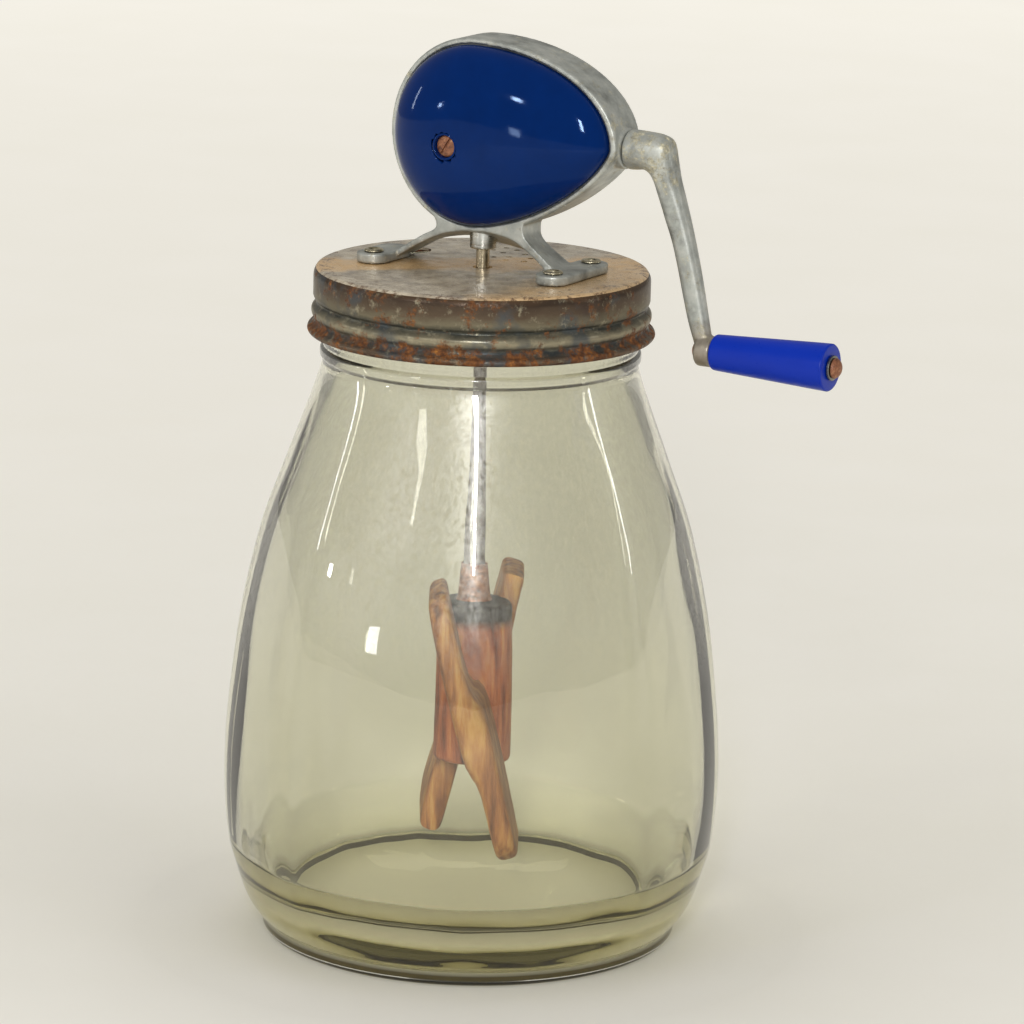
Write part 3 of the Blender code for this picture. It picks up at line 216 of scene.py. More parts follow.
def cast_alloy():
    """Die-cast alloy: satin grey, finely pitted, pale bloom thick on the hub, brown by the rivet."""
    material, tree, shader = new_finish("cast_alloy")
    grey = add_node(tree, "ShaderNodeValToRGB", {0: mottle(tree, 9, 6, 0.65)}, stops=[
        (0.30, "#7c7e7a"), (0.72, "#c6c7c0"), (0.50, "#a8aba6")])
    place = add_node(tree, "ShaderNodeTexCoord").outputs["Object"]
    reach = add_node(tree, "ShaderNodeVectorMath", {
        0: place, 1: (HUB_FACE_X + 9 * MM, 0, AXIS_Z)}, operation="DISTANCE").outputs["Value"]
    near_hub = add_node(tree, "ShaderNodeMapRange", {0: reach, 1: 8 * MM, 2: 20 * MM, 3: 0.09, 4: 0.0})
    cloud = add_node(tree, "ShaderNodeMath", {
        0: mottle(tree, 4, 8, 0.75, shift=4.0), 1: near_hub}, operation="ADD")
    bloom = add_node(tree, "ShaderNodeMapRange", {0: cloud, 1: 0.55, 2: 0.66, 3: 0.0, 4: 0.85})
    salts = add_node(tree, "ShaderNodeValToRGB", {0: mottle(tree, 1.8, 6, 0.7, shift=1.5)}, stops=[
        (0.36, "#706c5e"), (0.66, "#d4cbac"), (0.52, "#a19a80")])
    from_eye = add_node(tree, "ShaderNodeVectorMath", {
        0: place, 1: EYE}, operation="DISTANCE").outputs["Value"]
    near_eye = add_node(tree, "ShaderNodeMapRange", {0: from_eye, 1: 3 * MM, 2: 12 * MM, 3: 0.75, 4: 0.0})
    stained = add_node(tree, "ShaderNodeMix", {0: near_eye, 6: grey, 7: "#7d6446"}, data_type="RGBA")
    pits = mottle(tree, 0.8, 3, 0.6)
    skin = add_node(tree, "ShaderNodeMath", {
        0: mottle(tree, 2.5, 5, 0.7), 1: pits}, operation="ADD")
    feed(tree, shader,
         Base_Color=add_node(tree, "ShaderNodeMix", {0: bloom, 6: stained, 7: salts}, data_type="RGBA"),
         Metallic=add_node(tree, "ShaderNodeMapRange", {0: bloom, 1: 0.0, 2: 0.85, 3: 0.62, 4: 0.15}),
         Roughness=add_node(tree, "ShaderNodeMapRange", {0: pits, 1: 0.3, 2: 0.7, 3: 0.34, 4: 0.52}),
         Normal=add_node(tree, "ShaderNodeBump", {"Height": skin, "Distance": 0.04 * MM}))
    return material


def navy_enamel():
    """Stove enamel on pressed steel: deep navy, wet gloss with a faint ripple."""
    material, tree, shader = new_finish(
        "navy_enamel", Specular_IOR_Level=0.2, Specular_Tint=(0.45, 0.65, 1.0, 1))
    feed(tree, shader,
         Base_Color=add_node(tree, "ShaderNodeMix", {
             0: mottle(tree, 9, 3), 6: "#001b4e", 7: "#00225d"}, data_type="RGBA"),
         Roughness=add_node(tree, "ShaderNodeMapRange", {
             0: mottle(tree, 2, 6, 0.8), 1: 0.4, 2: 0.75, 3: 0.05, 4: 0.09}),
         Normal=add_node(tree, "ShaderNodeBump", {
             "Height": mottle(tree, 5, 4, 0.6), "Distance": 0.02 * MM}))
    return material


def blue_plastic():
    """Moulded plastic: bright ultramarine with a soft gloss along its length."""
    material, tree, shader = new_finish("blue_plastic", Specular_IOR_Level=0.2)
    feed(tree, shader,
         Base_Color=add_node(tree, "ShaderNodeMix", {
             0: mottle(tree, 8, 4, stretch=(0.4, 1, 1)), 6: "#002694", 7: "#022ca4"}, data_type="RGBA"),
         Roughness=add_node(tree, "ShaderNodeMapRange", {
             0: mottle(tree, 1.5, 5, 0.7), 1: 0.3, 2: 0.7, 3: 0.26, 4: 0.40}),
         Normal=add_node(tree, "ShaderNodeBump", {
             "Height": mottle(tree, 3, 4, 0.6, stretch=(0.3, 1, 1)), "Distance": 0.02 * MM}))
    return material


def beater_wood():
    """Turned beech, oiled: red-brown, long grain, black towards the top."""
    material, tree, shader = new_finish("beater_wood", Roughness=0.5)
    # Grain drawn wider than real, so that it shows
    grain = mottle(tree, 3.2, 7, 0.62, stretch=(1, 1, 0.10))
    wood = add_node(tree, "ShaderNodeValToRGB", {0: grain}, stops=[
        (0.34, "#4a2015"), (0.72, "#bd8a55"), (0.46, "#87462c"), (0.56, "#a8643c")])
    dark_top_band = level(tree, HUB_HIGH.z - 9 * MM, HUB_HIGH.z - 5 * MM)
    feed(tree, shader,
         Base_Color=add_node(tree, "ShaderNodeMix", {0: dark_top_band, 6: wood, 7: "#1f1411"}, data_type="RGBA"),
         Normal=add_node(tree, "ShaderNodeBump", {"Height": grain, "Distance": 0.08 * MM}))
    return material


def blade_wood():
    """Sawn beech slat, worn: brown with yellow and dark streaks along its length."""
    material, tree, shader = new_finish("blade_wood", Roughness=0.55)
    # Grain drawn wider than real, so that it shows
    grain = mottle(tree, 3.4, 8, 0.6, stretch=(1, 1, 0.12), shift=6.0)
    wood = add_node(tree, "ShaderNodeValToRGB", {0: grain}, stops=[
        (0.32, "#4f2d1b"), (0.76, "#643a23"), (0.44, "#855534"), (0.54, "#a2703f"), (0.64, "#b88f58")])
    feed(tree, shader, Base_Color=wood,
         Normal=add_node(tree, "ShaderNodeBump", {"Height": grain, "Distance": 0.10 * MM}))
    return material


def turned_steel():
    """Bright steel turned on a lathe: fine rings and a warm stain."""
    material, tree, shader = new_finish("turned_steel", Metallic=1.0)
    # Rings drawn coarser than a lathe leaves them, so that they show
    rings = mottle(tree, 0.6, 2, 0.5, stretch=(0.05, 0.05, 1))
    feed(tree, shader,
         Base_Color=add_node(tree, "ShaderNodeMix", {
             0: patches(tree, 6, 0.45, 0.65), 6: "#cdcfcc", 7: "#b3ab9a"}, data_type="RGBA"),
         Roughness=add_node(tree, "ShaderNodeMapRange", {0: rings, 1: 0.35, 2: 0.65, 3: 0.26, 4: 0.40}),
         Normal=add_node(tree, "ShaderNodeBump", {"Height": rings, "Distance": 0.01 * MM}))
    return material


def spindle_steel():
    """Steel rod: copper-gold tarnish above the lid, dull and rusty in the jar."""
    material, tree, shader = new_finish("spindle_steel")
    outside = level(tree, LID_TOP_Z - 2 * MM, LID_TOP_Z)
    tone = mottle(tree, 1.8, 6, 0.7, stretch=(1, 1, 0.4))
    dull = add_node(tree, "ShaderNodeValToRGB", {0: tone}, stops=[
        (0.34, "#3d3430"), (0.70, "#8f8880"), (0.50, "#655a52")])
    gold = add_node(tree, "ShaderNodeMix", {0: tone, 6: "#a2957c", 7: "#cfc4ab"}, data_type="RGBA")
    feed(tree, shader,
         Base_Color=add_node(tree, "ShaderNodeMix", {0: outside, 6: dull, 7: gold}, data_type="RGBA"),
         Metallic=add_node(tree, "ShaderNodeMapRange", {0: tone, 1: 0.35, 2: 0.6, 3: 0.5, 4: 1.0}),
         Roughness=add_node(tree, "ShaderNodeMapRange", {0: outside, 1: 0.0, 2: 1.0, 3: 0.45, 4: 0.24}),
         Normal=add_node(tree, "ShaderNodeBump", {"Height": tone, "Distance": 0.03 * MM}))
    return material


def rusty_steel():
    """Rusted steel: brown with copper-coloured worn spots."""
    material, tree, shader = new_finish("rusty_steel", Roughness=0.48)
    tone = mottle(tree, 1.8, 6, 0.75)
    feed(tree, shader,
         Base_Color=add_node(tree, "ShaderNodeValToRGB", {0: tone}, stops=[
             (0.32, "#4a2c20"), (0.68, "#b98c6c"), (0.50, "#87563c")]),
         Metallic=add_node(tree, "ShaderNodeMapRange", {0: tone, 1: 0.45, 2: 0.65, 3: 0.2, 4: 0.8}),
         Normal=add_node(tree, "ShaderNodeBump", {"Height": tone, "Distance": 0.05 * MM}))
    return material


def plain_steel():
    """Greased mild steel: even dull grey."""
    material, tree, shader = new_finish("plain_steel", Metallic=1.0)
    feed(tree, shader,
         Base_Color=add_node(tree, "ShaderNodeMix", {
             0: mottle(tree, 3, 5), 6: "#74756f", 7: "#93928a"}, data_type="RGBA"),
         Roughness=add_node(tree, "ShaderNodeMapRange", {
             0: mottle(tree, 1.2, 4), 1: 0.3, 2: 0.7, 3: 0.30, 4: 0.48}))
    return material


def worn_brass():
    """Handled brass: yellow with a dull brown bloom."""
    material, tree, shader = new_finish("worn_brass", Metallic=1.0)
    feed(tree, shader,
         Base_Color=add_node(tree, "ShaderNodeMix", {
             0: patches(tree, 2, 0.4, 0.6), 6: "#d6cdb4", 7: "#a49b80"}, data_type="RGBA"),
         Roughness=add_node(tree, "ShaderNodeMapRange", {
             0: mottle(tree, 1.2, 4), 1: 0.3, 2: 0.7, 3: 0.24, 4: 0.42}))
    return material


def seal_rubber():
    """Old red-brown rubber: matt, finely crazed."""
    material, tree, shader = new_finish("seal_rubber", Roughness=0.8)
    feed(tree, shader,
         Base_Color=add_node(tree, "ShaderNodeMix", {
             0: mottle(tree, 2, 5), 6: "#6e3a2a", 7: "#87503a"}, data_type="RGBA"),
         Normal=add_node(tree, "ShaderNodeBump", {
             "Height": mottle(tree, 0.8, 5, 0.8), "Distance": 0.05 * MM}))
    return material


def pressed_glass():
    """Pressed soda glass: clear, olive where deep, with painted brown shade along the foot, scuffed to a
    soft glare.
    """
    material, tree, shader = new_finish(
        "pressed_glass", Roughness=0.0, IOR=1.5, Transmission_Weight=1.0,
        Coat_Roughness=0.36, Coat_IOR=1.8)
    scuffs = patches(tree, 1.6, 0.38, 0.54, 1.0, detail=6, roughness=0.8, stretch=(1, 1, 0.5))
    # Painted shade: the glass is tinted near black along the foot's lowest millimetres, standing in for
    # the contact shade there
    foot_painted_shade = add_node(tree, "ShaderNodeMix", {
        0: level(tree, 4 * MM, 8.5 * MM), 6: "#201906", 7: "#f0f0e6"}, data_type="RGBA")
    worn = add_node(tree, "ShaderNodeMath", {
        0: scuffs, 1: level(tree, 95 * MM, 135 * MM)}, operation="MULTIPLY")
    feed(tree, shader, Coat_Weight=worn, Base_Color=foot_painted_shade,
         Normal=add_node(tree, "ShaderNodeBump", {
             "Height": mottle(tree, 14, 3, 0.5, stretch=(1, 1, 0.3)), "Distance": 0.03 * MM}))
    clear = add_node(tree, "ShaderNodeBsdfTransparent", {0: (0.95, 0.95, 0.91, 1.0)})
    lamp_ray = add_node(tree, "ShaderNodeLightPath").outputs["Is Shadow Ray"]
    skin = add_node(tree, "ShaderNodeMixShader", {0: lamp_ray, 1: shader, 2: clear})
    tint = add_node(tree, "ShaderNodeVolumeAbsorption", {
        "Color": (0.54, 0.50, 0.20, 1.0), "Density": 20.0})
    output = tree.nodes["Material Output"]
    tree.links.new(skin.outputs[0], output.inputs["Surface"])
    tree.links.new(tint.outputs[0], output.inputs["Volume"])
    return material


def pale_paper():
    """Matt background paper: warm white, with a glow under the glass and one that grows further off."""
    material, tree, shader = new_finish("pale_paper", Roughness=0.85)
    tone = add_node(tree, "ShaderNodeMix", {
        0: mottle(tree, 90, 3), 6: "#dfdcd5", 7: "#dbd8cf"}, data_type="RGBA")
    place = add_node(tree, "ShaderNodeTexCoord").outputs["Object"]
    away = add_node(tree, "ShaderNodeVectorMath", {0: place}, operation="LENGTH")
    share = add_node(tree, "ShaderNodeMapRange", {0: away, 1: 120 * MM, 2: 2500 * MM, 3: 0.0, 4: 1.0})
    curve = add_node(tree, "ShaderNodeMath", {0: share, 1: 0.62}, operation="POWER")
    far = add_node(tree, "ShaderNodeMath", {0: curve, 1: 0.83}, operation="MULTIPLY")
    under = add_node(tree, "ShaderNodeMapRange", {0: away, 1: 48 * MM, 2: 70 * MM, 3: 0.30, 4: 0.0})
    glow = add_node(tree, "ShaderNodeMath", {0: far, 1: under}, operation="MAXIMUM")
    feed(tree, shader, Base_Color=tone, Emission_Color=tone, Emission_Strength=glow)
    return material


finishes = {
    make.__name__: make()
    for make in (tinplate_skirt, tinplate_top, cast_alloy, navy_enamel, blue_plastic, beater_wood,
                 blade_wood, turned_steel, spindle_steel, rusty_steel, plain_steel, worn_brass,
                 seal_rubber, pressed_glass, pale_paper)
}

solid_finishes = {
    "glass_jar": "pressed_glass", "lid_seal_ring": "seal_rubber", "lid_cap": "tinplate_skirt",
    "gear_frame": "cast_alloy", "foot_rivet_left_front": "worn_brass",
    "foot_rivet_right_front": "worn_brass", "foot_rivet_right_rear": "worn_brass",
    "front_cover": "navy_enamel", "rear_cover": "navy_enamel",
    "front_cover_screw": "rusty_steel", "rear_cover_screw": "rusty_steel",
    "spindle_bush": "turned_steel", "crank_bush": "worn_brass", "crank_shaft": "turned_steel",
    "crank_arm": "cast_alloy", "drive_gear": "plain_steel", "drive_gear_pin": "plain_steel",
    "handle_pin": "rusty_steel", "handle_washer": "plain_steel", "handle_grip": "blue_plastic",
    "spindle_shaft": "spindle_steel", "thrust_washer": "worn_brass", "pinion_gear": "worn_brass",
    "pinion_pin": "plain_steel", "beater_ferrule": "plain_steel", "beater_hub": "beater_wood",
    "hub_pin": "plain_steel", "beater_blade_front": "blade_wood", "beater_blade_rear": "blade_wood",
}
for node_name, finish_name in solid_finishes.items():
    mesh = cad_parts[node_name].data
    mesh.materials.clear()
    mesh.materials.append(finishes[finish_name])


def add_piece(name, bm, body, finish, replaced=(), smooth_deg=40):
    """Make a mesh object from a bmesh, shade it, and let it ride on a body in place of some solids."""
    mesh = bpy.data.meshes.new(name)
    bm.to_mesh(mesh)
    bm.free()
    mesh.materials.append(finishes[finish])
    mesh.polygons.foreach_set("use_smooth", [True] * len(mesh.polygons))
    mesh.set_sharp_from_angle(angle=math.radians(smooth_deg))
    obj = bpy.data.objects.new(name, mesh)
    bpy.context.scene.collection.objects.link(obj)
    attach(obj, body)
    if replaced:
        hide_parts(*replaced)
    return obj


def spun(profile, steps, closed=False):
    """Spin (radius, height) pairs once round Z."""
    bm = bmesh.new()
    verts = [bm.verts.new((radius, 0, height)) for radius, height in profile]
    edges = [bm.edges.new(pair) for pair in zip(verts, verts[1:])]
    if closed:
        edges.append(bm.edges.new((verts[-1], verts[0])))
    bmesh.ops.spin(bm, geom=verts + edges, cent=(0, 0, 0), axis=(0, 0, 1), dvec=(0, 0, 0),
                   angle=TURN, steps=steps, use_merge=True)
    bmesh.ops.remove_doubles(bm, verts=bm.verts, dist=MERGE)
    bmesh.ops.recalc_face_normals(bm, faces=bm.faces)
    return bm


def lofted(loops, closed=False):
    """Extrude a loop of points through the following equal loops, then close the ends."""
    bm = bmesh.new()
    row = [bm.verts.new(point) for point in loops[0]]
    edges = [bm.edges.new(pair) for pair in zip(row, row[1:] + row[:1])]
    for loop in loops[1:] + (loops[:1] if closed else []):
        made = set(bmesh.ops.extrude_edge_only(bm, edges=edges)["geom"])
        row = [next(edge.other_vert(vert) for edge in vert.link_edges if edge.other_vert(vert) in made)
               for vert in row]
        for vert, point in zip(row, loop):
            vert.co = point
        edges = [bm.edges.get(pair) for pair in zip(row, row[1:] + row[:1])]
    bmesh.ops.remove_doubles(bm, verts=bm.verts, dist=MERGE)
    if not closed:
        bmesh.ops.holes_fill(bm, edges=bm.edges, sides=0)
    bmesh.ops.recalc_face_normals(bm, faces=bm.faces)
    return bm


def pulled(outline, travel):
    """Pull a flat outline of points along a vector into a solid."""
    bm = bmesh.new()
    face = bm.faces.new([bm.verts.new(point) for point in outline])
    far = bmesh.ops.extrude_face_region(bm, geom=[face])["geom"]
    bmesh.ops.translate(bm, vec=travel, verts=[v for v in far if isinstance(v, bmesh.types.BMVert)])
    bmesh.ops.recalc_face_normals(bm, faces=bm.faces)
    return bm


def block(low, high):
    """A rectangular solid between two corners."""
    low, high = Vector(low), Vector(high)
    bm = bmesh.new()
    bmesh.ops.create_cube(bm, size=1)
    bm.transform(Matrix.Translation((low + high) / 2) @ Matrix.Diagonal(high - low).to_4x4())
    return bm


# Turns from a spin's own Z to another axis
ALONG_X = Matrix.Rotation(math.radians(90), 4, "Y")
ALONG_Y = Matrix.Rotation(math.radians(-90), 4, "X")
ALONG_MINUS_Y = Matrix.Rotation(math.radians(90), 4, "X")
# The head's two faces: side, name, and the turn that points outwards there
HEAD_FACES = ((-1, "front", ALONG_MINUS_Y), (1, "rear", ALONG_Y))


def set_down(bm, place, turn=Matrix.Identity(4)):
    """Turn a shape about the origin, then carry it to its place."""
    bm.transform(Matrix.Translation(Vector(place)) @ turn)
    return bm


def rod(radius, low, high, steps=48):
    """A solid cylinder round Z between two heights."""
    return spun([(0, high), (radius, high), (radius, low), (0, low)], steps)


def work_object(bm):
    """A passing object of a shape, for modifiers to read."""
    mesh = bpy.data.meshes.new("work")
    bm.to_mesh(mesh)
    bm.free()
    obj = bpy.data.objects.new("work", mesh)
    bpy.context.scene.collection.objects.link(obj)
    return obj


def shaped(bm, *steps):
    """Take a shape through steps in turn: SHEET, SKIN, or UNION or DIFFERENCE with a shape."""
    base = work_object(bm)
    tools = []
    for step, value in steps:
        if step == "SHEET":
            modifier = base.modifiers.new("sheet", "SOLIDIFY")
            modifier.thickness = value
            modifier.offset = -1
            modifier.use_even_offset = True
        elif step == "SKIN":
            modifier = base.modifiers.new("skin", "REMESH")
            modifier.mode = "VOXEL"
            modifier.voxel_size = value
        else:
            tools.append(work_object(value))
            modifier = base.modifiers.new("step", "BOOLEAN")
            modifier.operation = step
            modifier.object = tools[-1]
            modifier.solver = "EXACT"
    depsgraph = bpy.context.evaluated_depsgraph_get()
    mesh = bpy.data.meshes.new_from_object(base.evaluated_get(depsgraph))
    made = bmesh.new()
    made.from_mesh(mesh)
    bpy.data.meshes.remove(mesh)
    for obj in tools + [base]:
        bpy.data.meshes.remove(obj.data)
    return made


def smoothed(bm, rounds):
    """Draw every point half way to the middle of its neighbours, so many times over."""
    for _ in range(rounds):
        bmesh.ops.smooth_vert(bm, verts=bm.verts, factor=0.5, use_axis_x=True, use_axis_y=True,
                              use_axis_z=True)
    return bm


def softened(corners, steps=4):
    """A polyline's points, with each (radius, height, rounding) corner rounded off."""
    points = []
    for i, (radius, height, rounding) in enumerate(corners):
        here = Vector((radius, height))
        if rounding == 0 or i in (0, len(corners) - 1):
            points.append(tuple(here))
            continue
        before = Vector(corners[i - 1][:2])
        after = Vector(corners[i + 1][:2])
        first = here + (before - here).normalized() * rounding
        last = here + (after - here).normalized() * rounding
        for k in range(steps + 1):
            t = k / steps
            points.append(tuple(first * (1 - t) ** 2 + here * 2 * t * (1 - t) + last * t * t))
    return points


def eased(points, steps):
    """A smooth curve through a few points, with that many steps between neighbours."""
    points = [Vector(point) for point in points]
    made = []
    for i in range(len(points) - 1):
        p0, p1, p2 = points[max(i - 1, 0)], points[i], points[i + 1]
        p3 = points[min(i + 2, len(points) - 1)]
        for k in range(steps):
            t = k / steps
            made.append(0.5 * (2 * p1 + (p2 - p0) * t + (2 * p0 - 5 * p1 + 4 * p2 - p3) * t * t
                               + (3 * p1 - p0 - 3 * p2 + p3) * t ** 3))
    made.append(points[-1])
    return [tuple(point) for point in made]


# Jar
JAR_STEPS = 288
JAR_WALL = 5.5 * MM
JAR_FLOOR_Z = 12.5 * MM
NECK_RADIUS = 55.4 * MM
MOUTH_RADIUS = 50.5 * MM
THREAD_RISE = 1.1 * MM
THREAD_PITCH = 6.5 * MM
THREAD_HALF_WIDTH = 1.3 * MM
THREAD_LOW_Z = 213 * MM
PANELS = 8
PANEL_TURN = math.radians(7.5)
PANEL_HOLLOW = 0.030
PANEL_SOFTNESS = 0.22
PANEL_SHARE_INSIDE = 0.55
PANEL_HIGH_Z = 205 * MM
PANEL_SWAY = 0.03
PANEL_SWAY_LENGTH = 48 * MM
FOOT_RADIUS = 73.8 * MM
FOOT_HEIGHT = 5.5 * MM
FLOOR_LUMP_MM = 0.30
WALL_LUMP_MM = 0.42
LUMP_LENGTH = 26 * MM
SMALL_LUMP_LENGTH = 11 * MM


def jar_outline():
    """The jar's section: floor inside, up the wall, over the rim and down to the foot."""
    side = [(FOOT_RADIUS, FOOT_HEIGHT), (76.8 * MM, 8.2 * MM), (80.4 * MM, 13.5 * MM),
            (83.5 * MM, 22 * MM), (86.6 * MM, 33 * MM), (88.2 * MM, 50 * MM), (88.2 * MM, 68 * MM),
            (86.5 * MM, 89 * MM), (82.7 * MM, 118 * MM), (76.1 * MM, 147.5 * MM),
            (68.6 * MM, 169 * MM), (60.9 * MM, 190 * MM), (57.4 * MM, 200 * MM),
            (NECK_RADIUS, 207 * MM)]
    outer = eased(side, 8)
    inner = [(max(radius - JAR_WALL, MOUTH_RADIUS), height) for radius, height in outer
             if height > 30 * MM]
    floor = eased([(0, JAR_FLOOR_Z), (34 * MM, JAR_FLOOR_Z), (50 * MM, JAR_FLOOR_Z + 0.8 * MM),
                   (62 * MM, JAR_FLOOR_Z + 3 * MM), (71 * MM, JAR_FLOOR_Z + 8 * MM),
                   (77 * MM, JAR_FLOOR_Z + 14.5 * MM), inner[0]], 5)
    rim = softened([(MOUTH_RADIUS, 208 * MM, 0), (MOUTH_RADIUS, JAR_RIM_Z, 2 * MM),
                    (NECK_RADIUS, JAR_RIM_Z, 2 * MM), (NECK_RADIUS, JAR_RIM_Z - 5 * MM, 0)])
    neck = [(NECK_RADIUS, JAR_RIM_Z - (5 + 0.5 * i) * MM) for i in range(1, 36)]
    collar = softened([(NECK_RADIUS, 212.5 * MM, 0), (NECK_RADIUS + THREAD_RISE, 211.5 * MM, 0.6 * MM),
                       (NECK_RADIUS + THREAD_RISE, 209 * MM, 0.6 * MM), (NECK_RADIUS, 207.6 * MM, 0)])
    foot = softened([(FOOT_RADIUS, FOOT_HEIGHT, 0), (FOOT_RADIUS + 0.3 * MM, 3 * MM, 1 * MM),
                     (FOOT_RADIUS - 0.8 * MM, 0, 2.6 * MM), (0, 0, 0)])
    return floor + inner[1:] + rim + neck + collar + list(reversed(outer))[1:-1] + foot


def build_jar():
    """Soft octagonal panels, a slightly uneven wall inside, and a thread on the neck."""
    bm = spun(jar_outline(), JAR_STEPS)
    thread_top = JAR_RIM_Z - 5.5 * MM
    bm.normal_update()
    for vert in bm.verts:
        radius = math.hypot(vert.co.x, vert.co.y)
        if radius < MOUTH_RADIUS:
            continue
        angle = math.atan2(vert.co.y, vert.co.x)
        around = Vector((3 * math.cos(angle), 3 * math.sin(angle), vert.co.z / PANEL_SWAY_LENGTH))
        sway = PANEL_SWAY * noise.noise(around)
        factor = 1.0
        if FOOT_HEIGHT < vert.co.z < PANEL_HIGH_Z:
            depth = math.sin(math.pi * (vert.co.z - FOOT_HEIGHT) / (PANEL_HIGH_Z - FOOT_HEIGHT)) ** 0.7
            across = 2 * math.asin(math.sin(PANELS / 2 * (angle - PANEL_TURN + sway))) / math.pi
            flat = (math.hypot(1 - across * across, PANEL_SOFTNESS) - PANEL_SOFTNESS) / (
                math.hypot(1, PANEL_SOFTNESS) - PANEL_SOFTNESS)
            inside = vert.normal.x * vert.co.x + vert.normal.y * vert.co.y < 0
            factor -= PANEL_HOLLOW * depth * flat * (PANEL_SHARE_INSIDE if inside else 1)
        if radius > NECK_RADIUS - MERGE and vert.co.z > THREAD_LOW_Z:
            turns = (thread_top - vert.co.z) / THREAD_PITCH - (angle % TURN) / TURN
            if 0 <= round(turns) <= 1:
                off = (turns - round(turns)) * THREAD_PITCH / THREAD_HALF_WIDTH
                factor += THREAD_RISE * max(0.0, 1 - off * off) / radius
        vert.co.x *= factor
        vert.co.y *= factor
    bm.normal_update()
    for vert in bm.verts:
        inward = vert.normal.x * vert.co.x + vert.normal.y * vert.co.y < 0
        on_floor = vert.normal.z > 0.5 and vert.co.z < 26 * MM
        if vert.co.z > FOOT_HEIGHT and (inward or on_floor):
            tall = Vector((vert.co.x, vert.co.y, vert.co.z * (1.0 if on_floor else 0.22)))
            lump = noise.noise(tall / LUMP_LENGTH) + 0.4 * noise.noise(tall / SMALL_LUMP_LENGTH)
            calm = min(1.0, (JAR_RIM_Z - vert.co.z) / (60 * MM))
            vert.co += vert.normal * (FLOOR_LUMP_MM if on_floor else WALL_LUMP_MM) * MM * lump * calm
    add_piece("jar_of_pressed_glass", bm, "jar", "pressed_glass", ["glass_jar"])


# Lid
LID_STEPS = 256
BAND_RADIUS = 59.1 * MM
SHAFT_HOLE_RADIUS = 3.5 * MM
POUR_HOLE = Vector((-36.5 * MM, 13.7 * MM, 0))
POUR_HOLE_RADIUS = 6.4 * MM
STRAINER_HOLE_RADIUS = 1.15 * MM
LID_RIVET_HOLE_RADIUS = 2.5 * MM
# Places of the strainer's holes on the lid's top
strainer_holes_mm = (
    (-11.8, 37.2), (-6.4, 35.4), (-0.4, 38.0), (4.2, 34.2), (-8.0, 28.2), (-0.1, 30.1), (-13.5, 30.8),
    (-6.6, 18.9), (-2.0, 22.2), (5.5, 24.3), (-0.2, 16.6), (6.4, 18.1), (8.6, 29.4), (-13.2, 23.6),
)


def build_lid():
    """Pressed sheet: flat top, upright band, bead, flared skirt and a rolled edge."""
    drop_mm = LID_TOP_Z / MM - LID_LOW_Z / MM
    outside = softened([(SHAFT_HOLE_RADIUS, LID_TOP_Z, 0), (BAND_RADIUS - 1.2 * MM, LID_TOP_Z, 1.3 * MM),
                        (BAND_RADIUS, LID_TOP_Z - 2.4 * MM, 1.1 * MM),
                        (BAND_RADIUS, LID_TOP_Z - 9.6 * MM, 0)], 6)
    outside += eased([(BAND_RADIUS + out * MM, LID_TOP_Z - drop * MM) for out, drop in (
        (0.0, 10.2), (-0.4, 11.2), (-1.1, 12.2), (-0.8, 13.2), (0.3, 14.4), (0.6, 15.7), (0.3, 17.0),
        (-0.5, 18.2), (-0.5, 19.2), (0.3, 20.4), (1.6, 21.2), (1.95, 22.3), (1.2, drop_mm - 0.1),
        (0.2, 22.8), (-0.4, 21.2))], 5)
    inside = eased([(BAND_RADIUS - back * MM, LID_TOP_Z - drop * MM) for back, drop in (
        (1.4, 18.8), (0.6, 15.7), (1.8, 13.4), (2.1, 12.2), (1.4, 10.8), (1.0, 9.0), (1.0, 3.0),
        (1.5, 1.8), (2.8, 1.0), (9.0, 1.0))], 3)
    inside.append((SHAFT_HOLE_RADIUS, LID_TOP_Z - 1.0 * MM))
    cuts = [("DIFFERENCE", set_down(rod(POUR_HOLE_RADIUS, -3 * MM, 3 * MM, 64),
                                    POUR_HOLE + Vector((0, 0, LID_TOP_Z))))]
    for x, y in strainer_holes_mm:
        place = (x * MM, y * MM, LID_TOP_Z)
        cuts.append(("DIFFERENCE", set_down(rod(STRAINER_HOLE_RADIUS, -3 * MM, 3 * MM, 16), place)))
    for foot in RIVETED_FEET:
        place = middle_of("foot_rivet_" + foot)
        cuts.append(("DIFFERENCE", set_down(rod(LID_RIVET_HOLE_RADIUS, -6 * MM, 6 * MM, 24), place)))
    bm = shaped(spun(outside + inside, LID_STEPS, closed=True), *cuts)
    lid = add_piece("tinplate_lid", bm, "lid", "tinplate_skirt", ["lid_cap"])
    lid.data.materials.append(finishes["tinplate_top"])
    for polygon in lid.data.polygons:
        inward = polygon.normal.x * polygon.center.x + polygon.normal.y * polygon.center.y < 0
        if inward or abs(polygon.normal.z) > 0.6 and polygon.center.z > LID_TOP_Z - 2 * MM:
            polygon.material_index = 1


# Geared head
HEAD_HALF_DEPTH = 9.0 * MM
HEAD_LEFT = 33.0 * MM
HEAD_TIP = 56.5 * MM
HEAD_HALF_HEIGHT = 34.0 * MM
HEAD_WALL = 3.4 * MM
HEAD_BOTTOM_Z = AXIS_Z - HEAD_HALF_HEIGHT
COVER_BULGE = 12.5 * MM
COVER_LIP = 1.9 * MM
COVER_LEDGE = 1.6 * MM
COVER_SHEET = 1.5 * MM
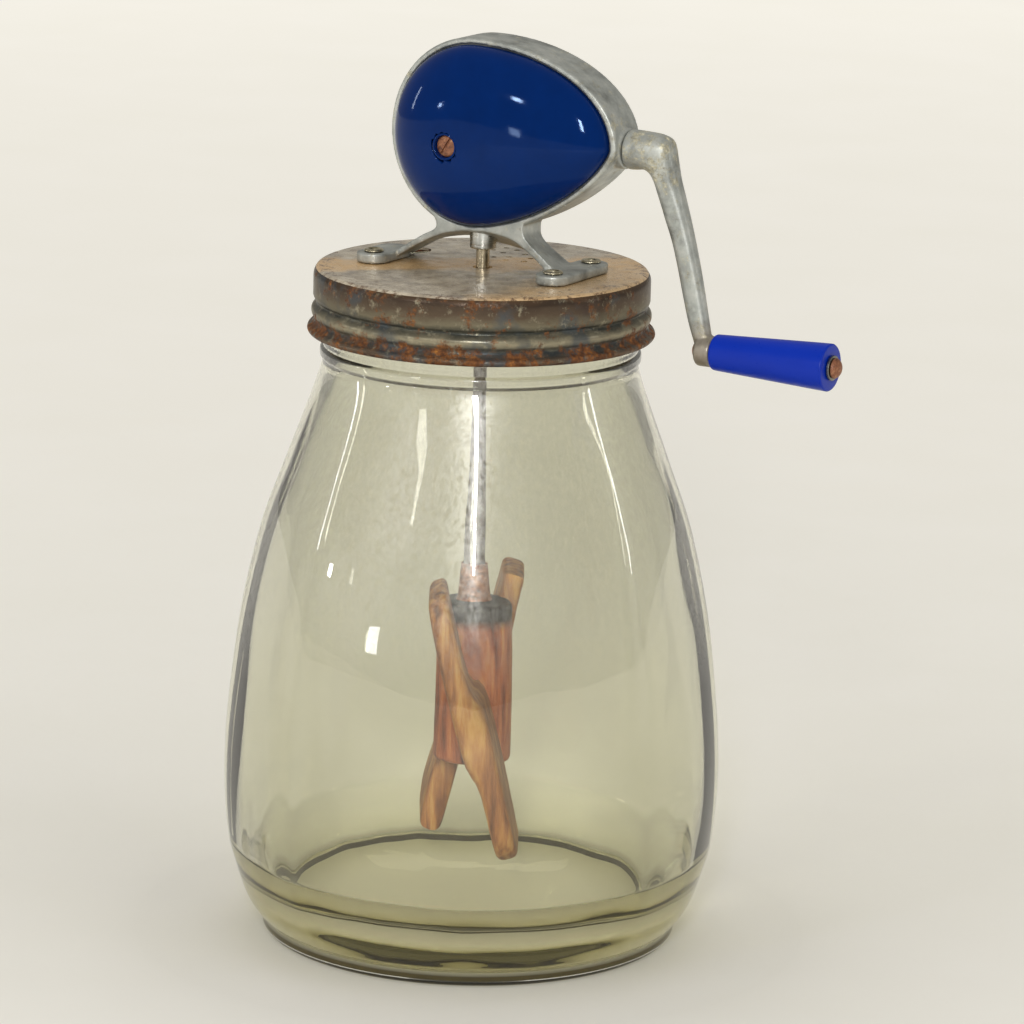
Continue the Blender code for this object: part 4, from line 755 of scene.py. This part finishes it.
# From the head's middle to its cover, where the screw is
DOME_AT_SCREW = HEAD_HALF_DEPTH + 0.86 * COVER_BULGE
CUP_RADIUS = 4.0 * MM
SCREW_HEAD_RADIUS = 3.75 * MM
SCREW_SHANK_RADIUS = 1.6 * MM
SCREW_SLOT_WIDTH = 0.9 * MM
SCREW_SLOT_DEG = -32
SCREW_POST_RADIUS = 4 * MM
CRANK_BOSS_RADIUS = 7.1 * MM
CRANK_BUSH_HOLE_RADIUS = 4.7 * MM
CRANK_SHAFT_HOLE_RADIUS = 3.2 * MM
SPINDLE_BOSS_RADIUS = 7.2 * MM
SPINDLE_BUSH_HOLE_RADIUS = 4.5 * MM
FOOT_RIVET_HOLE_RADIUS = 2.7 * MM
FRAME_SKIN = 0.45 * MM
EGG_POINTS = 144
FOOT_SPAN = 35.8 * MM
FOOT_SPREAD = 13.4 * MM
FOOT_THICKNESS = 3.4 * MM
FOOT_BAR_RADIUS = 6.0 * MM


def egg_half_height(x, inset, below):
    """The head is a true ellipse above; below, it draws in sooner towards the crank."""
    left, high, tip = HEAD_LEFT - inset, HEAD_HALF_HEIGHT - inset, HEAD_TIP - 1.2 * inset
    if x < 0:
        return high * math.sqrt(max(1 - (x / left) ** 2, 0))
    if below:
        return high * max(1 - (x / tip) ** 1.65, 0) ** 0.72
    return high * math.sqrt(max(1 - (x / tip) ** 2, 0))


def egg(inset, y, shrink=1.0):
    """A loop of the head's egg shape, drawn in by an inset, at a depth."""
    left, tip = HEAD_LEFT - inset, HEAD_TIP - 1.2 * inset
    points = []
    for i in range(EGG_POINTS):
        angle = TURN * (i + 0.5) / EGG_POINTS
        x = math.cos(angle) * (left if math.cos(angle) < 0 else tip)
        height = egg_half_height(x, inset, math.sin(angle) < 0)
        points.append((x, math.copysign(height, math.sin(angle))))
    return [(x * shrink, y, AXIS_Z + z * shrink) for x, z in points]


# Arched legs: x and height over the lid, in front and at the rear, in mm
arch_under_mm = (
    (-33.0, 0.3, -33.0, 0.3), (-27.8, 2.9, -27.5, 3.5), (-22.1, 6.5, -21.6, 6.6),
    (-12.6, 11.3, -15.8, 8.0), (-6.0, 13.1, -9.7, 8.8), (0.0, 14.1, -3.0, 8.3), (6.0, 14.3, 1.0, 7.4),
    (10.2, 13.9, 5.0, 7.0), (14.9, 13.1, 10.0, 6.3), (18.7, 11.6, 14.0, 5.7), (22.6, 9.2, 18.0, 4.6),
    (26.4, 6.5, 23.0, 3.0), (30.2, 3.2, 27.0, 1.4), (33.0, 0.3, 30.0, 0.3),
)
arch_right_mm = (
    (36.5, 0.3, 34.5, 0.3), (35.5, 2.6, 33.5, 1.4), (32.1, 5.3, 30.4, 3.2), (26.3, 9.9, 23.7, 7.5),
    (22.4, 13.1, 19.8, 10.4), (21.0, 15.4, 18.2, 13.0), (20.9, 18.4, 18.2, 16.6),
)
arch_left_mm = (
    (-15.2, 17.8, -15.2, 17.8), (-14.0, 14.8, -14.0, 14.6), (-15.6, 12.7, -15.6, 12.3),
    (-19.3, 10.8, -19.5, 10.4), (-24.5, 7.6, -24.5, 7.4), (-29.8, 4.2, -29.8, 4.3),
    (-34.0, 2.8, -34.0, 2.8), (-35.0, 0.3, -35.0, 0.3),
)


def arch():
    """The legs as one casting, higher in front than at the rear, its top let into the ring."""
    rows = eased(arch_under_mm, 4) + eased(arch_right_mm, 4)
    for i in range(1, 20):
        x = 20.6 - 1.79 * i
        rise = (AXIS_Z - LID_TOP_Z - egg_half_height(x * MM, COVER_LIP / 2, True)) / MM
        rows.append((x, rise, x, rise))
    rows += eased(arch_left_mm, 4)
    front = [(row[0] * MM, -HEAD_HALF_DEPTH, LID_TOP_Z + row[1] * MM) for row in rows]
    rear = [(row[2] * MM, HEAD_HALF_DEPTH, LID_TOP_Z + row[3] * MM) for row in rows]
    return lofted([front, rear])


def bar_outline(first, last, radius, height):
    """Plan of a bar with round ends between two points."""
    heading = math.atan2(last[1] - first[1], last[0] - first[0])
    outline = []
    for centre, turn in ((last, -math.pi / 2), (first, math.pi / 2)):
        for i in range(17):
            angle = heading + turn + math.pi * i / 16
            outline.append((centre[0] + radius * math.cos(angle),
                            centre[1] + radius * math.sin(angle), height))
    return outline


def build_frame():
    """Cast ring with its arched legs, feet, bosses and bearing block, melted into one skin."""
    half, ledge = HEAD_HALF_DEPTH, HEAD_HALF_DEPTH - COVER_LEDGE
    ring = lofted([egg(0.5 * MM, -half), egg(0, 0.4 * MM - half), egg(0, half - 0.4 * MM),
                   egg(0.5 * MM, half), egg(COVER_LIP, half), egg(COVER_LIP, ledge),
                   egg(HEAD_WALL, ledge), egg(HEAD_WALL, -ledge), egg(COVER_LIP, -ledge),
                   egg(COVER_LIP, -half)], closed=True)
    axis = (0, 0, AXIS_Z)
    foot_low = LID_TOP_Z + GAP
    left_foot = bar_outline((-FOOT_SPAN, -1.08 * FOOT_SPREAD), (-FOOT_SPAN, -0.12 * FOOT_SPREAD),
                            FOOT_BAR_RADIUS, foot_low)
    right_foot = bar_outline((FOOT_SPAN, -FOOT_SPREAD), (FOOT_SPAN, FOOT_SPREAD),
                             FOOT_BAR_RADIUS, foot_low)
    post_reach = DOME_AT_SCREW - 3.2 * MM
    steps = [
        ("UNION", set_down(rod(CRANK_BOSS_RADIUS, HEAD_TIP - 15 * MM, HEAD_TIP + 2 * GAP),
                           axis, ALONG_X)),
        ("UNION", rod(SPINDLE_BOSS_RADIUS, HEAD_BOTTOM_Z + GAP, HEAD_BOTTOM_Z + 6.6 * MM)),
        ("UNION", block((-10 * MM, -6 * MM, AXIS_Z - 6 * MM), (2 * MM, 6 * MM, AXIS_Z + 6 * MM))),
        ("UNION", block((1.7 * MM - HEAD_LEFT, -3 * MM, AXIS_Z - 3 * MM),
                        (-7 * MM, 3 * MM, AXIS_Z + 3 * MM))),
        ("UNION", set_down(rod(SCREW_POST_RADIUS, -post_reach, post_reach),
                           (SCREW.x, 0, SCREW.z), ALONG_Y)),
        ("UNION", arch()),
        ("UNION", pulled(left_foot, (0, 0, FOOT_THICKNESS))),
        ("UNION", pulled(right_foot, (0, 0, FOOT_THICKNESS))),
        ("DIFFERENCE", rod(SPINDLE_BUSH_HOLE_RADIUS, HEAD_BOTTOM_Z - 2 * MM, HEAD_BOTTOM_Z + 9 * MM)),
        ("DIFFERENCE", set_down(rod(CRANK_BUSH_HOLE_RADIUS, HEAD_TIP - 30 * MM, HEAD_TIP + 9 * MM),
                                axis, ALONG_X)),
        ("DIFFERENCE", set_down(rod(CRANK_SHAFT_HOLE_RADIUS, -9 * MM, 9 * MM), axis, ALONG_X)),
    ]
    for foot in RIVETED_FEET:
        steps.append(("DIFFERENCE", set_down(rod(FOOT_RIVET_HOLE_RADIUS, -9 * MM, 9 * MM),
                                             middle_of("foot_rivet_" + foot))))
    steps.append(("SKIN", FRAME_SKIN))
    bm = smoothed(shaped(ring, *steps), 3)
    add_piece("cast_gear_frame", bm, "lid", "cast_alloy", ["gear_frame"], 60)


def build_covers():
    """Domed sheet covers with a raised ring round the screw's cup."""
    inset = COVER_LIP + 2 * GAP
    top = HEAD_HALF_DEPTH + COVER_BULGE
    floor = DOME_AT_SCREW - 1.4 * MM
    low, proud = top - 1.6 * MM, top + 0.1 * MM
    for side, name, turn in HEAD_FACES:
        loops = [egg(inset, side * (HEAD_HALF_DEPTH - 1.3 * MM)), egg(inset, side * HEAD_HALF_DEPTH)]
        for i in range(1, 25):
            share = math.cos(math.pi / 2 * i / 24.3)
            rise = (1 - share ** 2.5) ** 0.52
            loops.append(egg(inset, side * (HEAD_HALF_DEPTH + rise * COVER_BULGE), share))
        shell = lofted(loops)
        rim = [face for face in shell.faces if abs(face.calc_center_median().y) < HEAD_HALF_DEPTH - MM]
        bmesh.ops.delete(shell, geom=rim, context="FACES_ONLY")
        place = (SCREW.x, 0, SCREW.z)
        lip = spun(softened([
            (CUP_RADIUS - 0.1 * MM, low, 0), (CUP_RADIUS - 0.1 * MM, proud, 0.5 * MM),
            (CUP_RADIUS + 0.7 * MM, proud, 0.6 * MM), (CUP_RADIUS + 1.3 * MM, top - 1.0 * MM, 0.3 * MM),
            (CUP_RADIUS + 1.3 * MM, low, 0)]), 64, closed=True)
        bm = shaped(
            shell, ("SHEET", COVER_SHEET),
            ("UNION", set_down(rod(CUP_RADIUS + COVER_SHEET, floor - COVER_SHEET, top - 0.9 * MM, 64),
                               place, turn)),
            ("DIFFERENCE", set_down(rod(CUP_RADIUS, floor, top + 5 * MM, 64), place, turn)),
            ("DIFFERENCE", set_down(rod(1.9 * MM, 0, top + 5 * MM, 24), place, turn)),
            ("UNION", set_down(lip, place, turn)))
        add_piece(name + "_enamelled_cover", bm, "lid", "navy_enamel",
                  [name + "_cover"], 30)


def build_screws():
    """Slotted cheese-head screws."""
    seat = DOME_AT_SCREW - 1.1 * MM
    for _, name, turn in HEAD_FACES:
        head = softened([
            (0, seat + 1.9 * MM, 0), (2.8 * MM, seat + 1.8 * MM, 0.4 * MM),
            (SCREW_HEAD_RADIUS, seat + 1.5 * MM, 0.4 * MM), (SCREW_HEAD_RADIUS, seat, 0),
            (SCREW_SHANK_RADIUS, seat, 0), (SCREW_SHANK_RADIUS, seat - 8 * MM, 0), (0, seat - 8 * MM, 0)])
        slot = block((-SCREW_SLOT_WIDTH / 2, -9 * MM, seat + 1.0 * MM),
                     (SCREW_SLOT_WIDTH / 2, 9 * MM, seat + 3 * MM))
        slot.transform(Matrix.Rotation(math.radians(SCREW_SLOT_DEG), 4, "Z"))
        bm = shaped(spun(head, 48), ("DIFFERENCE", slot))
        add_piece(name + "_cheese_head_screw", set_down(bm, (SCREW.x, 0, SCREW.z), turn), "lid",
                  "rusty_steel", [name + "_cover_screw"])


EYELET_HOLE_RADIUS = 1.5 * MM
EYELET_BARREL_RADIUS = 2.2 * MM
EYELET_FLANGE = 0.8 * MM


def build_eyelets():
    """Hollow rivets with rolled flanges on the feet."""
    for foot in RIVETED_FEET:
        node = "foot_rivet_" + foot
        low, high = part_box(node)
        section = softened([
            (EYELET_HOLE_RADIUS, low.z, 0), (3.2 * MM, low.z, 0.3 * MM),
            (3.2 * MM, low.z + EYELET_FLANGE, 0.2 * MM), (EYELET_BARREL_RADIUS, low.z + EYELET_FLANGE, 0),
            (EYELET_BARREL_RADIUS, high.z - EYELET_FLANGE, 0),
            (3.6 * MM, high.z - EYELET_FLANGE, 0.3 * MM), (3.3 * MM, high.z - 0.05 * MM, 0.5 * MM),
            (2.1 * MM, high.z, 0.5 * MM), (EYELET_HOLE_RADIUS, high.z - 1.2 * MM, 0.5 * MM),
            (EYELET_HOLE_RADIUS, low.z + MM, 0)])
        middle = (low + high) / 2
        add_piece("eyelet_" + foot, set_down(spun(section, 40, closed=True), (middle.x, middle.y, 0)),
                  "lid", "worn_brass", [node], 50)


COLLAR_RADIUS = 4.7 * MM
COLLAR_HOLE_RADIUS = 2.7 * MM
COLLAR_SLEEVE_RADIUS = 3.8 * MM


def build_collar():
    """Turned steel bush under the head, its sleeve let into the casting."""
    top, sleeve_top = HEAD_BOTTOM_Z - GAP, HEAD_BOTTOM_Z + 6.9 * MM
    section = softened([
        (COLLAR_HOLE_RADIUS, sleeve_top, 0), (COLLAR_SLEEVE_RADIUS, sleeve_top, 0),
        (COLLAR_SLEEVE_RADIUS, top, 0), (COLLAR_RADIUS, top, 0.2 * MM),
        (COLLAR_RADIUS, COLLAR_LOW_Z, 0.6 * MM), (3.2 * MM, COLLAR_LOW_Z, 0.3 * MM),
        (COLLAR_HOLE_RADIUS, COLLAR_LOW_Z + 0.6 * MM, 0)])
    add_piece("turned_spindle_bush", spun(section, 64, closed=True), "lid", "turned_steel",
              ["spindle_bush"])


# Crank arm from hub to eye in mm: outer edge x and drop, inner edge x and drop, half depth,
# and how square the section is, from 0 for round to 1
arm_stations = (
    (57.4, -6.3, 57.4, 6.3, 6.3, 0.0), (58.0, -6.9, 58.0, 6.9, 6.9, 0.0),
    (61.0, -6.9, 61.0, 6.8, 6.9, 0.0), (65.0, -6.7, 64.0, 6.5, 6.8, 0.1),
    (69.6, -6.2, 66.6, 7.8, 6.4, 0.3), (73.2, -4.4, 68.4, 10.6, 5.8, 0.5),
    (74.8, 1.0, 69.8, 14.4, 5.1, 0.6), (76.4, 8.0, 71.4, 18.8, 4.6, 0.6),
    (78.6, 14.5, 73.0, 23.4, 4.2, 0.6), (81.6, 24.0, 75.6, 30.4, 3.8, 0.6),
    (84.4, 34.0, 78.0, 39.2, 3.5, 0.6), (87.0, 44.5, 80.2, 48.4, 3.2, 0.6),
    (89.2, 54.5, 82.4, 57.0, 3.0, 0.5), (91.2, 64.0, 85.2, 65.0, 2.9, 0.4),
)
ARM_POINTS = 40
ARM_SKIN = 0.4 * MM
ARM_SOCKET_RADIUS = 2.9 * MM
EYE_RADIUS = 5.4 * MM
EYE_HALF_DEPTH = 3.1 * MM
EYE_HOLE_RADIUS = 2.4 * MM


def build_crank_arm():
    """Cast arm: round hub, hard elbow and a flat tapering bar down to the eye."""
    loops = []
    for outer_x, outer_drop, inner_x, inner_drop, depth, square in eased(arm_stations, 5):
        outer = Vector((outer_x * MM, 0, AXIS_Z - outer_drop * MM))
        inner = Vector((inner_x * MM, 0, AXIS_Z - inner_drop * MM))
        centre, reach = (outer + inner) / 2, (outer - inner) / 2
        loop = []
        for i in range(ARM_POINTS):
            cos, sin = math.cos(TURN * i / ARM_POINTS), math.sin(TURN * i / ARM_POINTS)
            across = math.copysign(abs(cos) ** (1 - 0.5 * square), cos)
            deep = math.copysign(abs(sin) ** (1 - 0.5 * square), sin)
            loop.append(centre + reach * across + Vector((0, deep * depth * MM, 0)))
        loops.append(loop)
    eye = spun(softened([(0, EYE_HALF_DEPTH, 0), (EYE_RADIUS, EYE_HALF_DEPTH, 1 * MM),
                         (EYE_RADIUS, -EYE_HALF_DEPTH, 1 * MM), (0, -EYE_HALF_DEPTH, 0)]), 48)
    bm = shaped(
        lofted(loops), ("UNION", set_down(eye, EYE, ALONG_X)),
        ("DIFFERENCE", set_down(rod(ARM_SOCKET_RADIUS, -2 * MM, 12.4 * MM),
                                (HUB_FACE_X, 0, AXIS_Z), ALONG_X)),
        ("DIFFERENCE", set_down(rod(EYE_HOLE_RADIUS, -9 * MM, 9 * MM), EYE, ALONG_X)),
        ("SKIN", ARM_SKIN))
    add_piece("cast_crank_arm", smoothed(bm, 3), "crank", "cast_alloy",
              ["crank_arm"], 60)


GRIP_HOLE_RADIUS = 2.3 * MM
WASHER_RADIUS = 4.3 * MM
RIVET_HEAD_LOW = 1.5 * MM


def build_grip():
    """Tapered grip, its washer and the rivet that it turns on."""
    length = GRIP_HIGH.x - GRIP_LOW.x
    body = softened([
        (GRIP_HOLE_RADIUS, 0, 0), (6.2 * MM, 0, 0.7 * MM), (6.35 * MM, 3 * MM, 2 * MM),
        (8.15 * MM, length - 2.5 * MM, 2 * MM), (8.2 * MM, length, 0.8 * MM),
        (GRIP_HOLE_RADIUS, length, 0)], 5)
    start = Vector((GRIP_LOW.x, 0, EYE.z))
    add_piece("moulded_grip", set_down(spun(body, 96, closed=True), start, ALONG_X), "grip",
              "blue_plastic", ["handle_grip"])
    end = Vector((GRIP_HIGH.x, 0, EYE.z))
    washer = softened([(GRIP_HOLE_RADIUS, 0.3 * MM, 0), (WASHER_RADIUS, 0.3 * MM, 0.2 * MM),
                       (WASHER_RADIUS, 1.2 * MM, 0.2 * MM), (GRIP_HOLE_RADIUS, 1.2 * MM, 0)])
    add_piece("grip_washer", set_down(spun(washer, 40, closed=True), end, ALONG_X), "crank",
              "plain_steel", ["handle_washer"])
    pin_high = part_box("handle_pin")[1].x - GRIP_HIGH.x
    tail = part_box("handle_pin")[0].x - GRIP_HIGH.x
    pin = eased([(0, pin_high), (1.5 * MM, pin_high - 0.25 * MM), (2.8 * MM, pin_high - 1.0 * MM),
                 (3.5 * MM, pin_high - 2.0 * MM), (3.5 * MM, RIVET_HEAD_LOW)], 5)
    pin += [(2.0 * MM, RIVET_HEAD_LOW), (2.0 * MM, tail + 1.5 * MM)]
    pin += eased([(3.0 * MM, tail + 1.5 * MM), (2.7 * MM, tail + 0.6 * MM), (1.3 * MM, tail + 0.05 * MM),
                  (0, tail)], 4)
    add_piece("grip_rivet", set_down(spun(pin, 48), end, ALONG_X), "crank", "rusty_steel",
              ["handle_pin"])


# Beater
BLADE_SLANT_DEG = 14.5
BLADE_HEADING_DEG = 30.0
BLADE_THICKNESS = 8.0 * MM
BLADE_REACH = 38.5 * MM
BLADE_LENGTH = 98.0 * MM
BLADE_ROOT = 5 * MM
BLADE_CORNER_RADIUS = 11 * MM
BLADE_ROUNDING = 2.6 * MM
HUB_RADIUS = 11 * MM
HUB_ROUNDING = 2.2 * MM
FERRULE_HOLE_RADIUS = 2.7 * MM
BEATER_CENTRE_Z = 81.0 * MM
SPINDLE_RADIUS = 2.38 * MM


def build_spindle():
    """Steel rod, and the spun ferrule where it enters the hub."""
    low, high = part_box("spindle_shaft")
    section = softened([(0, high.z, 0), (SPINDLE_RADIUS, high.z, 0.4 * MM),
                        (SPINDLE_RADIUS, low.z, 0.4 * MM), (0, low.z, 0)])
    add_piece("spindle_rod", spun(section, 48), "spindle", "spindle_steel",
              ["spindle_shaft"])
    base, top = FERRULE_LOW.z, FERRULE_HIGH.z
    ferrule = softened([(FERRULE_HOLE_RADIUS, top, 0), (3.2 * MM, top, 0.2 * MM),
                        (3.9 * MM, base + 1.3 * MM, 0.4 * MM), (4.5 * MM, base, 0.1 * MM),
                        (FERRULE_HOLE_RADIUS, base, 0)])
    add_piece("spun_ferrule", spun(ferrule, 48, closed=True), "spindle", "rusty_steel",
              ["beater_ferrule"])


def build_beater():
    """Turned hub with worn ends and two rounded slats slanting opposite ways."""
    hub = softened([(0, HUB_HIGH.z, 0), (HUB_RADIUS, HUB_HIGH.z, HUB_ROUNDING),
                    (HUB_RADIUS, HUB_LOW.z, HUB_ROUNDING), (0, HUB_LOW.z, 0)])
    bore = rod(SPINDLE_RADIUS + GAP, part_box("spindle_shaft")[0].z - GAP, HUB_HIGH.z + MM)
    add_piece("turned_beater_hub", shaped(spun(hub, 96), ("DIFFERENCE", bore)), "spindle",
              "beater_wood", ["beater_hub"])
    half = BLADE_LENGTH / 2
    corner = BLADE_CORNER_RADIUS
    outline = [(BLADE_ROOT, -half)]
    for centre_z, start in ((corner - half, -90), (half - corner, 0)):
        for i in range(13):
            angle = math.radians(start + 90 * i / 12)
            outline.append((BLADE_REACH - corner + corner * math.cos(angle),
                            centre_z + corner * math.sin(angle)))
    outline.append((BLADE_ROOT, half))
    for number, name in enumerate(("front", "rear")):
        bm = pulled([(x, -BLADE_THICKNESS / 2, z) for x, z in outline], (0, BLADE_THICKNESS, 0))
        long_edges = [edge for edge in bm.edges
                      if abs(edge.verts[0].co.y - edge.verts[1].co.y) < MERGE]
        bmesh.ops.bevel(bm, geom=long_edges, offset=BLADE_ROUNDING, segments=4, profile=0.5,
                        affect="EDGES", material=-1, clamp_overlap=True)
        heading = math.radians(BLADE_HEADING_DEG - 90 + 180 * number)
        bm.transform(Matrix.Translation((0, 0, BEATER_CENTRE_Z)) @ Matrix.Rotation(heading, 4, "Z")
                     @ Matrix.Rotation(math.radians(BLADE_SLANT_DEG), 4, "X"))
        add_piece("beech_slat_" + name, bm, "spindle", "blade_wood",
                  ["beater_blade_" + name])


build_jar()
build_lid()
build_frame()
build_covers()
build_screws()
build_eyelets()
build_collar()
build_crank_arm()
build_grip()
build_spindle()
build_beater()


# Camera, placed as the photograph was taken
VIEW_TURN_DEG = 30.0
CAMERA_DISTANCE = 1.818
CAMERA_HEIGHT = 0.580
CAMERA_TILT_DEG = 13.23
CAMERA_ROLL_DEG = 1.40
CAMERA_PAN_DEG = 0.39
FOCAL_PIXELS = 5280.0
FRAME_PIXELS = 1024.0
SENSOR_WIDTH_MM = 36.0
VIEW_TURN = Matrix.Rotation(math.radians(VIEW_TURN_DEG), 4, "Z")


def build_camera():
    """A camera that sees the churn from where the photograph does."""
    camera = bpy.data.cameras.new("photo_camera")
    camera.sensor_width = SENSOR_WIDTH_MM
    camera.lens = FOCAL_PIXELS / FRAME_PIXELS * SENSOR_WIDTH_MM
    camera.clip_start = 0.05
    obj = bpy.data.objects.new("photo_camera", camera)
    obj.matrix_world = (
        VIEW_TURN
        @ Matrix.Translation((0, -CAMERA_DISTANCE, CAMERA_HEIGHT))
        @ Matrix.Rotation(math.radians(-CAMERA_PAN_DEG), 4, "Z")
        @ Matrix.Rotation(math.radians(90 - CAMERA_TILT_DEG), 4, "X")
        @ Matrix.Rotation(math.radians(CAMERA_ROLL_DEG), 4, "Z"))
    bpy.context.scene.collection.objects.link(obj)
    bpy.context.scene.camera = obj


PAPER_RADIUS = 5.0
PAPER_Z = 0.05 * MM


def build_floor():
    """A round of paper, a hair over the flat of the foot so that glass and paper touch."""
    bm = bmesh.new()
    bmesh.ops.create_circle(bm, cap_ends=True, segments=96, radius=PAPER_RADIUS,
                            matrix=Matrix.Translation((0, 0, PAPER_Z)))
    mesh = bpy.data.meshes.new("paper_floor")
    bm.to_mesh(mesh)
    bm.free()
    mesh.materials.append(finishes["pale_paper"])
    floor = bpy.data.objects.new("paper_floor", mesh)
    bpy.context.scene.collection.objects.link(floor)


# Lights: place seen from the camera's side, width, height, power, and whether glass and metal mirror it
lights = (
    ("key", (-0.10, -1.75, 0.90), 0.13, 0.42, 15.0, True),
    ("high_lamp", (-0.95, -0.97, 0.76), 0.08, 0.08, 1.5, True),
    ("low_lamp", (-1.04, -0.97, 0.22), 0.08, 0.08, 0.3, True),
    ("side_lamp", (-1.32, -0.52, 0.38), 0.05, 0.05, 0.5, True),
    ("left_strip", (-1.35, 0.15, 0.48), 0.05, 0.30, 0.7, True),
    ("right_strip", (1.40, -0.15, 0.48), 0.05, 0.30, 0.7, True),
    ("left_fill", (-1.30, -0.90, 1.20), 0.9, 0.9, 4.0, False),
    ("right_fill", (1.30, -0.80, 1.30), 0.8, 0.8, 4.0, False),
    ("top_fill", (0.0, 0.30, 1.90), 1.0, 1.0, 9.0, False),
)
AIM = Vector((0, 0, 0.16))
ROOM_COLOUR = "#f4f1e8"
ROOM_STRENGTH = 0.40


def build_lights():
    """Lamps turned towards the middle of the churn, in a pale room."""
    for name, place, width, height, power, mirrored in lights:
        light = bpy.data.lights.new(name, "AREA")
        light.shape = "RECTANGLE"
        light.size = width
        light.size_y = height
        light.energy = power
        obj = bpy.data.objects.new(name, light)
        start = VIEW_TURN @ Vector(place)
        facing = (VIEW_TURN @ AIM - start).to_track_quat("-Z", "Y").to_matrix().to_4x4()
        obj.matrix_world = Matrix.Translation(start) @ facing
        obj.visible_glossy = mirrored
        obj.visible_transmission = mirrored
        bpy.context.scene.collection.objects.link(obj)
    world = bpy.data.worlds.new("room")
    world.use_nodes = True
    world.node_tree.nodes["Background"].inputs["Color"].default_value = linear(ROOM_COLOUR)
    world.node_tree.nodes["Background"].inputs["Strength"].default_value = ROOM_STRENGTH
    bpy.context.scene.world = world


build_camera()
build_floor()
build_lights()
bpy.context.scene.view_settings.view_transform = "Standard"
